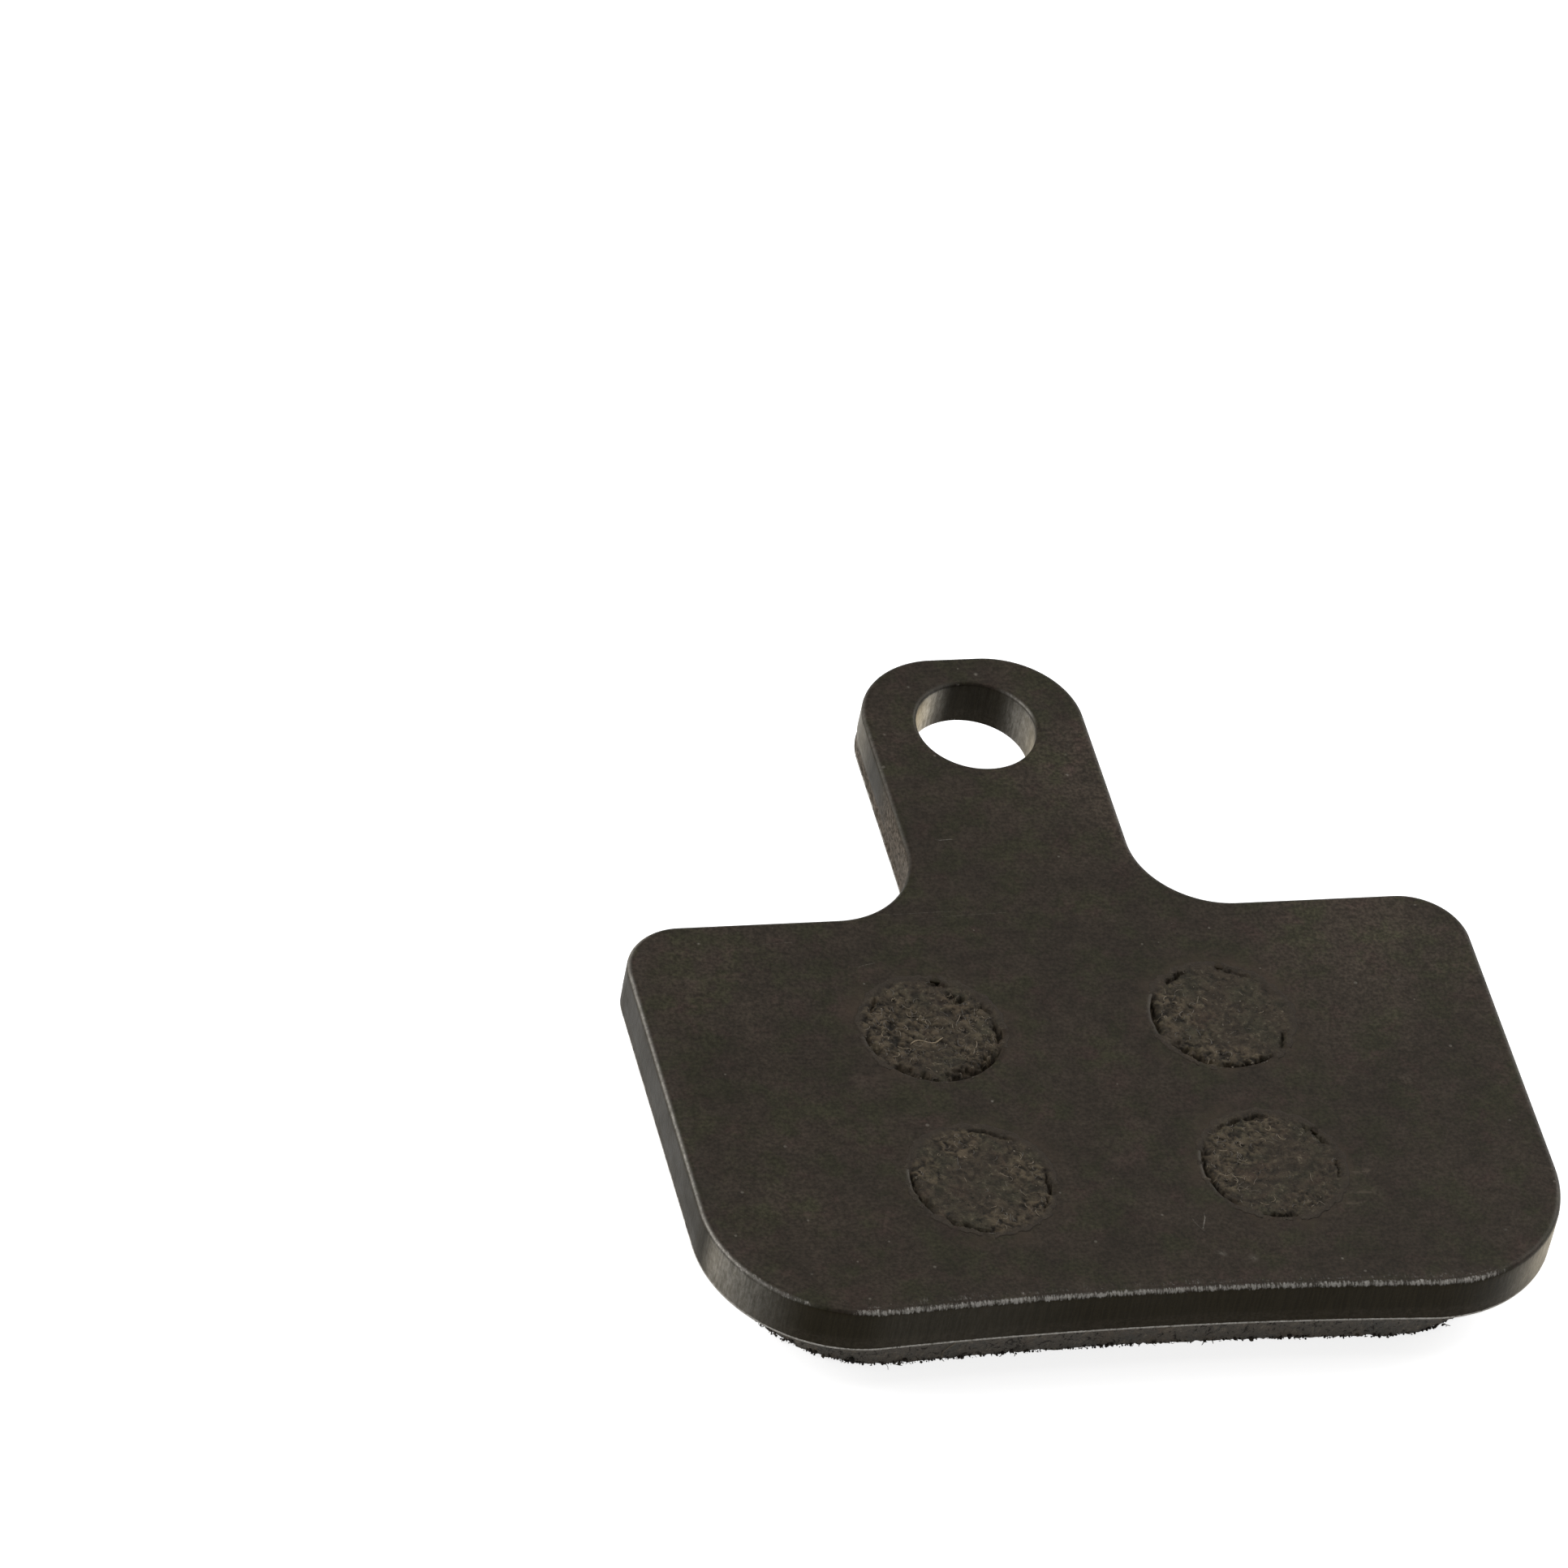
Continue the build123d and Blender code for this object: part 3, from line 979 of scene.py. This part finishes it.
class Plug:
    """One plug end: its place, how rough and how deep it is, the patches where it has freshly
    broken as (x, y, radius) from its middle, and the gaps round it as (from angle, to angle,
    share of the radius, width, depth). Angles are in degrees, and lengths in millimetres."""

    def __init__(self, centre, roughness, depth, patches, gaps):
        self.centre = centre
        self.roughness = roughness * MM
        self.depth = depth * MM
        self.patches = [(x * MM, y * MM, radius * MM) for x, y, radius in patches]
        self.gaps = [(first, last, share, width * MM, deep * MM) for first, last, share, width, deep in gaps]

    def freshness(self, x, y):
        """1 in the middle of a freshly broken patch, 0 where the end is pressed smooth."""
        ragged = patch_raggedness * noise.fractal(Vector((x, y, 0)) / patch_grain, 0.7, 2.2, 4)
        most = 0.0
        for px, py, radius in self.patches:
            away = math.hypot(x - self.centre[0] - px, y - self.centre[1] - py) + ragged
            most = max(most, ramp(-away, -radius, -0.4 * radius))
        return most

    def grain(self, x, y):
        """Height, 0 to 1, of the torn grain at a place."""
        spot = Vector((x, y, 0)) / torn_grain
        spot += 0.6 * noise.noise_vector(spot)
        return min(1.0, max(0.0, 0.5 + 0.6 * noise.fractal(spot, 0.45, 2.1, 4)))

    def sink(self, x, y):
        """Depth of the plug's end below the plate's back face."""
        dx, dy = x - self.centre[0], y - self.centre[1]
        from_middle = math.hypot(dx, dy)
        bearing = math.degrees(math.atan2(dy, dx))
        spot = Vector((x, y, 0))
        lumps = noise.fractal(spot / lump_grain, 0.8, 2.2, 4)
        rough = self.roughness * (0.35 + 0.65 * self.freshness(x, y))
        depth = self.depth + rough * (0.04 * lumps + 0.10 * (0.5 - self.grain(x, y)))
        depth = max(least_sink, depth)
        smeared = ramp(from_middle, 0.96 * anchor_radius, anchor_radius + ANCHOR_ROLL[0])
        depth -= (depth + smear_height) * smeared
        wander = 0.0
        for swing, pitch in gap_wander:
            wander += swing * noise.noise(spot / pitch)
        spread = 0.9 + 1.3 * noise.noise(spot / gap_grain + Vector((3, 1, 4)))
        for first, last, share, width, deep in self.gaps:
            half = (last - first) / 2
            off = abs((bearing - first - half + 180) % 360 - 180)
            inwards = share * anchor_radius - from_middle + wander
            reach = max(0.25, 1.4 * spread) * width
            opened = ramp(-off, -half, -0.3 * half) * ramp(spread, 0.0, 0.5)
            depth += deep * opened * ramp(inwards, -gap_edge, 0.0) * ramp(-inwards, -reach, 0.0)
        return depth

    def rim_reach(self, bearing):
        """How far the compound reaches past the hole's wall: over the rolled rim where it is
        whole, and not at all where a gap has opened."""
        x = self.centre[0] + anchor_radius * math.cos(bearing)
        y = self.centre[1] + anchor_radius * math.sin(bearing)
        drop = self.sink(x, y)
        if drop > open_gap:
            return dish_inset(drop)
        smear = 0.4 + 0.9 * noise.fractal(Vector((x, y, 0)) / smear_grain, 0.7, 2.3, 4)
        return ANCHOR_ROLL[0] + smear_reach * max(-0.3, smear)

    def thinness(self, x, y):
        """1 where the compound is only smeared thinly over the rim of the hole."""
        from_middle = math.dist((x, y), self.centre)
        return ramp(from_middle, 0.93 * anchor_radius, anchor_radius + ANCHOR_ROLL[0])


plugs = [
    Plug(
        anchor_centres[0], 1.2, 0.03,
        [(-1.3, 0.4, 2.5), (1.3, 0.7, 1.1), (1.5, -1.2, 1.2)],
        [
            (-146, -90, 1.0, 0.26, 0.3), (-104, -16, 1.0, 0.36, 0.4), (-22, 10, 0.97, 0.16, 0.3),
            (178, 210, 0.98, 0.16, 0.18), (130, 156, 0.95, 0.2, 0.22), (40, 66, 0.82, 0.28, 0.3),
            (62, 82, 0.95, 0.1, 0.3), (14, 32, 0.95, 0.1, 0.15),
        ],
    ),
    Plug(
        anchor_centres[1], 0.85, 0.016,
        [(-1.9, 0.4, 1.5), (-1.0, -1.7, 1.2), (0.2, -2.2, 0.8)],
        [
            (146, 202, 0.99, 0.16, 0.35), (106, 134, 0.96, 0.14, 0.3), (-156, -104, 0.97, 0.22, 0.35),
            (-114, -48, 1.0, 0.14, 0.35), (-46, -20, 0.97, 0.1, 0.2), (40, 90, 0.97, 0.06, 0.12),
        ],
    ),
    Plug(
        anchor_centres[2], 0.8, 0.012,
        [(-0.4, 1.9, 1.2), (1.7, 0.3, 1.2), (0.3, -2.2, 1.0), (1.7, -1.5, 1.0), (-2.0, 0.6, 0.7)],
        [
            (156, 224, 0.98, 0.12, 0.28), (-142, -78, 0.97, 0.08, 0.18), (-48, 14, 0.98, 0.09, 0.24),
            (42, 96, 0.95, 0.08, 0.13),
        ],
    ),
    Plug(
        anchor_centres[3], 0.85, 0.014,
        [(-1.3, 1.3, 1.7), (-1.9, -0.4, 1.0), (0.2, 2.0, 0.9), (0.8, -1.9, 0.8)],
        [
            (144, 238, 0.98, 0.13, 0.3), (-116, -76, 0.98, 0.09, 0.22), (18, 52, 0.97, 0.1, 0.28),
            (-22, 6, 0.95, 0.07, 0.15), (68, 146, 0.95, 0.09, 0.16),
        ],
    ),
]

grid_spacing = 0.16 * MM
grid_margin = 0.32 * MM
end_spacing = 0.05 * MM
end_margin = 0.04 * MM
neck_depth = 0.45 * MM
compound = Skin("lip", "fresh", "tone", "thin")
rings = [ragged_ring(compound, *level) for level in block_profile()]
for lower, upper in zip(rings, rings[1:]):
    compound.wall(lower, upper, PRESSED)
face_grid = scattered_inside(block_border, [], grid_spacing, grid_margin, seed=5)
face_inner = compound.add([(x, y, rubbing_z + rubbing_relief(x, y)) for x, y in face_grid])
compound.fill(rings[0], inner=face_inner, material=RUBBED)
plug_feet = []
for plug in plugs:
    wall = hole_outline(*plug.centre, anchor_radius, edge_step, anchor_wobble)
    foot = compound.add([(x, y, front_z) for x, y, _, _ in wall])
    neck = compound.add([(x, y, back_z - neck_depth) for x, y, _, _ in wall])
    rim_line = []
    for x, y, nx, ny in wall:
        out = plug.rim_reach(math.atan2(-ny, -nx))
        rim_line.append((x - nx * out, y - ny * out, -nx, -ny))
    spots = scattered_inside(Border(rim_line), [], end_spacing, end_margin, seed=7)
    ends = []
    for line in ([(x, y) for x, y, _, _ in rim_line], spots):
        heights = [(x, y, back_z - plug.sink(x, y)) for x, y in line]
        fresh = [plug.freshness(x, y) for x, y in line]
        # Painted light and shade on the plug ends: the mask follows the grain's height, so high points are
        # painted lighter and low points darker.
        relief_shades = [plug.grain(x, y) for x, y in line]
        thin = [plug.thinness(x, y) for x, y in line]
        ends.append(compound.add(heights, fresh=fresh, tone=relief_shades, thin=thin))
    rim, inner = ends
    compound.wall(foot, neck, BROKEN)
    compound.wall(neck, rim, BROKEN)
    compound.fill(rim, inner=inner, material=BROKEN)
    plug_feet.append(foot)
compound.fill(rings[-1], plug_feet, material=PRESSED)


def crumb_group():
    """The compound's grain: a height of lumps and hairs, and masks that follow it: the low spots painted
    dark as painted shade, the high spots painted pale as pale grains and painted light.
    """
    tree, given, results = new_group(
        "crumb",
        {"Vector": ("vector", None), "Per Millimetre": ("value", 5.0), "Contrast": ("value", 1.0)},
        {"Height": "value", "Shaded Gaps": "value", "Pale And Lit": "value", "Hairs": "value"},
    )
    where, per_mm = given["Vector"], given["Per Millimetre"]
    lumps = noise_value(tree, where, per_mm, 8.0, 0.75, 0.6)
    hairs = noise_value(
        tree, where, per_mm, 4.0, 0.6, 2.5, noise_type="RIDGED_MULTIFRACTAL", normalize=True
    )
    from_mean = math_node(tree, "SUBTRACT", lumps, 0.5)
    contrast = math_node(tree, "MULTIPLY", from_mean, given["Contrast"])
    tree.links.new(math_node(tree, "MULTIPLY_ADD", hairs, 0.5, lumps), results["Height"])
    tree.links.new(remap(tree, hairs, 0.55, 0.85), results["Hairs"])
    tree.links.new(remap(tree, contrast, -0.08, -0.2), results["Shaded Gaps"])
    tree.links.new(remap(tree, contrast, 0.08, 0.24), results["Pale And Lit"])
    return tree


crumb = crumb_group()
compound_shine = 0.2


def compound_material(name, ground, cool, warm, gap, pale, grain, roughness, relief, contrast=1.0):
    """Friction compound: a drifting ground colour with painted shade in its gaps and pale grains, partly
    painted light on the tops of its lumps.
    """
    made, tree, shader, in_mm = new_material(name)
    tone = use_group(tree, mottle, {
        "Vector": in_mm, "Per Millimetre": 0.8, "Ground": ground, "Cool": cool, "Warm": warm,
    }).outputs["Color"]
    texture = use_group(tree, crumb, {
        "Vector": in_mm, "Per Millimetre": grain, "Contrast": contrast,
    }).outputs
    # Painted shade in the low spots of the lumps and painted light on their high spots, over the compound's
    # own dark and pale grains.
    tone = mix_colour(tree, texture["Shaded Gaps"], tone, gap)
    tone = mix_colour(tree, texture["Pale And Lit"], tone, pale)
    grains = use_group(tree, specks, {
        "Vector": in_mm, "Per Millimetre": 3.2, "Share": 0.12, "Size": 0.24,
    }).outputs["Mask"]
    tone = mix_colour(tree, math_node(tree, "MULTIPLY", grains, 0.55), tone, pale)
    shader["Roughness"].default_value = roughness
    shader["Specular IOR Level"].default_value = compound_shine
    add_bump(tree, shader, texture["Height"], relief)
    return made, tree, shader, tone, texture


def rubbed_face():
    """The ground face: sandy, with painted shade in the gaps between the grains."""
    made, tree, shader, tone, _ = compound_material(
        "rubbed_face", grain=6.0, roughness=0.85, relief=0.03 * MM,
        ground=colour(0.150, 0.124, 0.094),
        cool=colour(0.118, 0.106, 0.085),
        warm=colour(0.172, 0.131, 0.089),
        gap=colour(0.030, 0.025, 0.019),
        pale=colour(0.275, 0.226, 0.160),
    )
    tree.links.new(tone, shader["Base Color"])
    return made


def pressed_wall():
    """The wall from the mould: smoother, with a brown parting lip. Its colours are paler than the rubbed
    face, partly painted light standing in for light bounced up from the table.
    """
    made, tree, shader, tone, _ = compound_material(
        "pressed_wall", grain=3.6, roughness=0.65, relief=0.06 * MM, contrast=2.0,
        ground=colour(0.205, 0.184, 0.156),
        cool=colour(0.175, 0.165, 0.145),
        warm=colour(0.228, 0.190, 0.152),
        gap=colour(0.040, 0.034, 0.026),
        pale=colour(0.330, 0.285, 0.225),
    )
    lip = math_node(tree, "MULTIPLY", mask_value(tree, "lip"), 0.85)
    tone = mix_colour(tree, lip, tone, colour(0.190, 0.145, 0.095))
    tree.links.new(tone, shader["Base Color"])
    return made


def plug_end():
    """The ends of the plugs: dark and smooth where pressed, lighter and hairy where freshly broken."""
    made, tree, shader, tone, texture = compound_material(
        "plug_end", grain=6.0, roughness=0.75, relief=0.05 * MM, contrast=1.6,
        ground=colour(0.0430, 0.0326, 0.0214),
        cool=colour(0.0392, 0.0342, 0.0207),
        warm=colour(0.0490, 0.0333, 0.0221),
        gap=colour(0.013, 0.011, 0.007),
        pale=colour(0.100, 0.083, 0.056),
    )
    fresh = mask_value(tree, "fresh")
    hair_share = math_node(tree, "MULTIPLY_ADD", fresh, 0.45, 0.12)
    hairs = math_node(tree, "MULTIPLY", texture["Hairs"], hair_share)
    tone = mix_colour(tree, hairs, tone, colour(0.110, 0.087, 0.058))
    tone = mix_colour(tree, math_node(tree, "MULTIPLY", fresh, 0.55), tone, colour(0.062, 0.0473, 0.0292))
    # Painted light on the high points of the torn grain and painted shade in its low points, more where
    # freshly broken.
    spread = math_node(tree, "MULTIPLY_ADD", fresh, 0.4, 0.4)
    relief_shade = remap(tree, mask_value(tree, "tone"), 0.0, 1.0, -1.0, 1.0)
    lighter = math_node(tree, "MULTIPLY_ADD", relief_shade, spread, 1.0)
    tone = mix_colour(tree, 1.0, tone, lighter, "MULTIPLY")
    thin = math_node(tree, "MULTIPLY", mask_value(tree, "thin"), 0.8)
    tone = mix_colour(tree, thin, tone, colour(0.040, 0.031, 0.0225))
    tree.links.new(tone, shader["Base Color"])
    return made


block = compound.build("friction_compound", [rubbed_face(), pressed_wall(), plug_end()])
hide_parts("friction_block")
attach(block, "root")

# Loose fibres.
# Brass-coloured and mineral fibres that reinforce the compound. Grinding has laid them open on
# the rubbing face, and along its rim and on the plugs their torn ends stand out as short hairs.
fibres = Skin("gold")
fibre_draw = random.Random(21)


def wandering(x, y, heading, length, curl, steps):
    """A flat path of a given length that bends as it goes."""
    bend = fibre_draw.gauss(0, curl)
    path = [(x, y)]
    for _ in range(steps):
        heading += bend + fibre_draw.gauss(0, 0.35 * curl)
        x += length / steps * math.cos(heading)
        y += length / steps * math.sin(heading)
        path.append((x, y))
    return path


def thread(skin, path, radius, **masks):
    """A thin round thread along a path in space, with both ends closed."""
    sides = 5
    rings = []
    for i, point in enumerate(path):
        along = (path[min(i + 1, len(path) - 1)] - path[max(i - 1, 0)]).normalized()
        across = along.cross(Vector((0, 0, 1))).normalized()
        over = across.cross(along)
        thin = 0.55 if i in (0, len(path) - 1) else 1.0
        turns = [math.tau * k / sides for k in range(sides)]
        ring = [point + (across * math.cos(t) + over * math.sin(t)) * radius * thin for t in turns]
        rings.append(skin.add([tuple(p) for p in ring], **masks))
    for first, second in zip(rings, rings[1:]):
        skin.wall(first, second)
    for end in (rings[0], rings[-1]):
        skin.face(end)


face_fibre_count = 420
fibre_margin = 1.0 * MM
laid = 0
while laid < face_fibre_count:
    x = fibre_draw.uniform(-block_half_width, block_half_width)
    y = fibre_draw.uniform(block_lower_y, block_upper_y)
    if block_border.depth(x, y) < fibre_margin:
        continue
    radius = fibre_draw.uniform(0.012, 0.028) * MM
    length = min(1.4, fibre_draw.lognormvariate(-0.75, 0.45)) * MM
    flat = wandering(x, y, fibre_draw.uniform(0, math.tau), length, 0.3, 7)
    lift = []
    for px, py in flat:
        height = max(radius, rubbing_relief(px, py) - 0.2 * radius)
        lift.append(Vector((px, py, rubbing_z + height)))
    thread(fibres, lift, radius, gold=fibre_draw.uniform(0.35, 1.0))
    laid += 1

rim_hair_count = 380
for _ in range(rim_hair_count):
    x, y, nx, ny = fibre_draw.choice(block_outline)
    radius = fibre_draw.uniform(0.008, 0.016) * MM
    length = min(0.5, fibre_draw.lognormvariate(-2.4, 0.6)) * MM
    heading = math.atan2(ny, nx) + fibre_draw.gauss(0, 0.8)
    start = fibre_draw.uniform(0.02, 0.08) * MM
    flat = wandering(x - nx * start, y - ny * start, heading, length + start, 0.3, 5)
    root_height = fibre_draw.uniform(0.02, 0.16) * MM
    slope = fibre_draw.gauss(0, 0.4)
    hair = []
    for k, (px, py) in enumerate(flat):
        height = max(radius, root_height + slope * length * k / len(flat))
        hair.append(Vector((px, py, rubbing_z + height)))
    thread(fibres, hair, radius, gold=fibre_draw.uniform(0.0, 0.3))

plug_hair_counts = (170, 60, 70, 100)
for plug, hairs_left in zip(plugs, plug_hair_counts):
    while hairs_left:
        x = plug.centre[0] + fibre_draw.uniform(-1, 1) * anchor_radius
        y = plug.centre[1] + fibre_draw.uniform(-1, 1) * anchor_radius
        if math.dist((x, y), plug.centre) > 0.95 * anchor_radius:
            continue
        if fibre_draw.random() > 0.12 + plug.freshness(x, y):
            continue
        radius = fibre_draw.uniform(0.009, 0.018) * MM
        length = fibre_draw.uniform(0.12, 0.45) * MM
        flat = wandering(x, y, fibre_draw.uniform(0, math.tau), length, 0.45, 6)
        lift = [Vector((px, py, back_z - max(radius, plug.sink(px, py) - 0.5 * radius))) for px, py in flat]
        thread(fibres, lift, radius, gold=0.42 * fibre_draw.random() ** 2)
        hairs_left -= 1

long_hair_steps = 14
long_hair_radius = 0.024 * MM
long_hair = []
for k in range(long_hair_steps + 1):
    share = k / long_hair_steps
    x = anchor_centres[0][0] + (-0.95 + 1.25 * share) * MM
    y = anchor_centres[0][1] + (-0.62 + 0.12 * math.sin(2.2 * math.pi * share) + 0.18 * share) * MM
    long_hair.append(Vector((x, y, back_z - max(0.025 * MM, plugs[0].sink(x, y) - 0.02 * MM))))
thread(fibres, long_hair, long_hair_radius, gold=0.6)

strip_hair_steps = 12
strip_hair_radius = 0.02 * MM
strip_hair_x = 7.1 * MM
block_front_y = hollow_centre_y + math.sqrt(block_hollow_radius**2 - strip_hair_x**2)
strip_hair = []
for k in range(strip_hair_steps + 1):
    share = k / strip_hair_steps
    x = (-6.93 - 0.34 * share + 0.1 * math.sin(math.tau * share)) * MM
    z = rubbing_z + (1.05 - 0.85 * share**1.3) * MM
    strip_hair.append(Vector((x, block_front_y - 0.06 * MM, z)))
thread(fibres, strip_hair, strip_hair_radius, gold=0.45)

dull_dark, dull_light = colour(0.030, 0.025, 0.020), colour(0.085, 0.072, 0.054)
brass_dark, brass_light = colour(0.30, 0.215, 0.120), colour(0.58, 0.46, 0.30)
strand_relief = 0.004 * MM


def fibre_strand():
    """A streaked fibre, from dull mineral to brass."""
    made, tree, shader, in_mm = new_material("fibre_strand")
    streak = noise_value(tree, in_mm, per_mm=14.0, detail=3.0)
    dull = mix_colour(tree, streak, dull_dark, dull_light)
    brass = mix_colour(tree, streak, brass_dark, brass_light)
    tree.links.new(mix_colour(tree, mask_value(tree, "gold"), dull, brass), shader["Base Color"])
    shader["Roughness"].default_value = 0.45
    add_bump(tree, shader, streak, strand_relief)
    return made


strands = fibres.build("loose_fibres", [fibre_strand()])
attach(strands, "root")

# Crumbs.
# Bits of compound that squeezed out round the foot of the block and were never cleaned off the
# plate, and grains that have broken out along the rim of the rubbing face and on the plugs.
crumbs = Skin("pale")
crumb_draw = random.Random(31)
ball = bmesh.new()
bmesh.ops.create_icosphere(ball, subdivisions=2, radius=1.0)
ball_points = [v.co.copy() for v in ball.verts]
ball_faces = [tuple(v.index for v in f.verts) for f in ball.faces]
ball.free()


def lump(skin, centre, size, **masks):
    """One rough grain of compound."""
    stretch = Vector([crumb_draw.uniform(0.6, 1.15) for _ in range(3)])
    shift = Vector([crumb_draw.uniform(0, 50) for _ in range(3)])
    points = []
    for point in ball_points:
        swell = 1 + 0.55 * noise.noise(1.3 * point + shift)
        points.append(tuple(centre + point * stretch * swell * size))
    index = skin.add(points, **masks)
    for face in ball_faces:
        skin.face(index[i] for i in face)


rim_crumb_count = 1200
for _ in range(rim_crumb_count):
    x, y, nx, ny = crumb_draw.choice(block_outline)
    size = min(0.09, crumb_draw.lognormvariate(-3.4, 0.45)) * MM
    out = crumb_draw.uniform(-0.06, 0.07) * MM
    z = rubbing_z + 1.5 * size + crumb_draw.uniform(0, 0.1) * MM
    lump(crumbs, Vector((x + nx * out, y + ny * out, z)), size, pale=crumb_draw.random())

plug_grain_counts = (80, 36, 40, 50)
for plug, grain_count in zip(plugs, plug_grain_counts):
    for _ in range(grain_count):
        bearing = crumb_draw.uniform(0, math.tau)
        reach = anchor_radius * math.sqrt(crumb_draw.random())
        x = plug.centre[0] + reach * math.cos(bearing)
        y = plug.centre[1] + reach * math.sin(bearing)
        size = min(0.05, crumb_draw.lognormvariate(-3.75, 0.3)) * MM
        z = back_z - max(size, plug.sink(x, y))
        lump(crumbs, Vector((x, y, z)), size, pale=crumb_draw.uniform(0.6, 1.0))

foot_crumb_count = 760
dropped = 0
while dropped < foot_crumb_count:
    x, y, nx, ny = crumb_draw.choice(block_outline)
    if crumb_draw.random() > 0.12 + 0.88 * ramp(-ny, -0.2, 0.6):
        continue
    size = min(0.16, crumb_draw.lognormvariate(-2.7, 0.45)) * MM
    out = min(0.7, crumb_draw.expovariate(4.0)) * MM - 0.1 * MM
    z = front_z - 0.5 * size
    lump(crumbs, Vector((x + nx * out, y + ny * out, z)), size, pale=crumb_draw.random())
    dropped += 1


def crumb_grain():
    """Loose grains of compound: dark, with a few pale ones among them."""
    made, tree, shader, tone, _ = compound_material(
        "crumb_grain", grain=7.0, roughness=0.8, relief=0.02 * MM,
        ground=colour(0.052, 0.044, 0.038),
        cool=colour(0.044, 0.040, 0.035),
        warm=colour(0.064, 0.050, 0.041),
        gap=colour(0.010, 0.008, 0.007),
        pale=colour(0.095, 0.080, 0.062),
    )
    pale_few = math_node(tree, "POWER", mask_value(tree, "pale"), 6.0)
    tone = mix_colour(tree, pale_few, tone, colour(0.260, 0.225, 0.175))
    tree.links.new(tone, shader["Base Color"])
    return made


grains = crumbs.build("compound_crumbs", [crumb_grain()])
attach(grains, "root")

# Floor.
# A plain white table under the pad, with no edge in view.
floor_half = 3.0
floor_mesh = bpy.data.meshes.new("floor")
floor_mesh.from_pydata(
    [(-floor_half, -floor_half, 0), (floor_half, -floor_half, 0), (floor_half, floor_half, 0),
     (-floor_half, floor_half, 0)], [], [(0, 1, 2, 3)],
)
floor = bpy.data.objects.new("floor", floor_mesh)
bpy.context.scene.collection.objects.link(floor)


def floor_white():
    """White table: plain diffuse light and shadow, lifted to white where it is looked at."""
    made = bpy.data.materials.new("floor_white")
    made.use_nodes = True
    tree = made.node_tree
    tree.nodes.clear()
    surface = place(tree, "ShaderNodeBsdfDiffuse", {"Color": colour(0.8, 0.8, 0.8)})
    path = place(tree, "ShaderNodeLightPath").outputs
    seen = math_node(tree, "MAXIMUM", path["Is Camera Ray"], path["Is Glossy Ray"])
    seen = math_node(tree, "MAXIMUM", seen, path["Is Transmission Ray"])
    lift = place(tree, "ShaderNodeEmission", {"Strength": math_node(tree, "MULTIPLY", seen, 0.8)})
    both = place(tree, "ShaderNodeAddShader", {0: surface.outputs[0], 1: lift.outputs[0]})
    place(tree, "ShaderNodeOutputMaterial", {"Surface": both.outputs[0]})
    return made


floor_mesh.materials.append(floor_white())

# Light.
# A large soft box on each side of the pad and a weak one above it, in a dim white room, so that
# the side walls catch light while the front and the flat face stay dark.
room_strength = 0.2
world = bpy.data.worlds.new("room")
bpy.context.scene.world = world
world.use_nodes = True
room = world.node_tree.nodes["Background"].inputs
room["Color"].default_value = colour(1, 1, 1)
room["Strength"].default_value = room_strength


def soft_box(name, location, size, power):
    """A square lamp that faces the pad."""
    lamp = bpy.data.lights.new(name, "AREA")
    lamp.shape = "SQUARE"
    lamp.size = size
    lamp.energy = power
    made = bpy.data.objects.new(name, lamp)
    made.location = location
    made.rotation_mode = "QUATERNION"
    made.rotation_quaternion = Vector(location).to_track_quat("Z", "Y")
    bpy.context.scene.collection.objects.link(made)


soft_box("box_left", (-0.62, 0.28, 0.40), 0.5, 3.9)
soft_box("box_right", (0.62, 0.30, 0.40), 0.5, 3.9)
soft_box("box_above", (0.0, 0.05, 0.9), 0.5, 1.2)

# Camera.
# A long lens that looks down on the pad from the front, a little from its left.
lens_mm = 272.0
view_aim = Vector((-7.854 * MM, 9.98 * MM, back_z))
view_azimuth = math.radians(-21.194)
view_elevation = math.radians(42.334)
view_roll = math.radians(12.234)
view_distance = 425.8 * MM
camera_data = bpy.data.cameras.new("camera")
camera_data.lens = lens_mm
camera = bpy.data.objects.new("camera", camera_data)
bpy.context.scene.collection.objects.link(camera)
towards_camera = Vector((
    math.sin(view_azimuth) * math.cos(view_elevation),
    -math.cos(view_azimuth) * math.cos(view_elevation),
    math.sin(view_elevation),
))
camera.location = view_aim + towards_camera * view_distance
camera.rotation_mode = "QUATERNION"
camera.rotation_quaternion = towards_camera.to_track_quat("Z", "Y") @ Quaternion((0, 0, 1), view_roll)
bpy.context.scene.camera = camera
bpy.context.scene.view_settings.view_transform = "Standard"
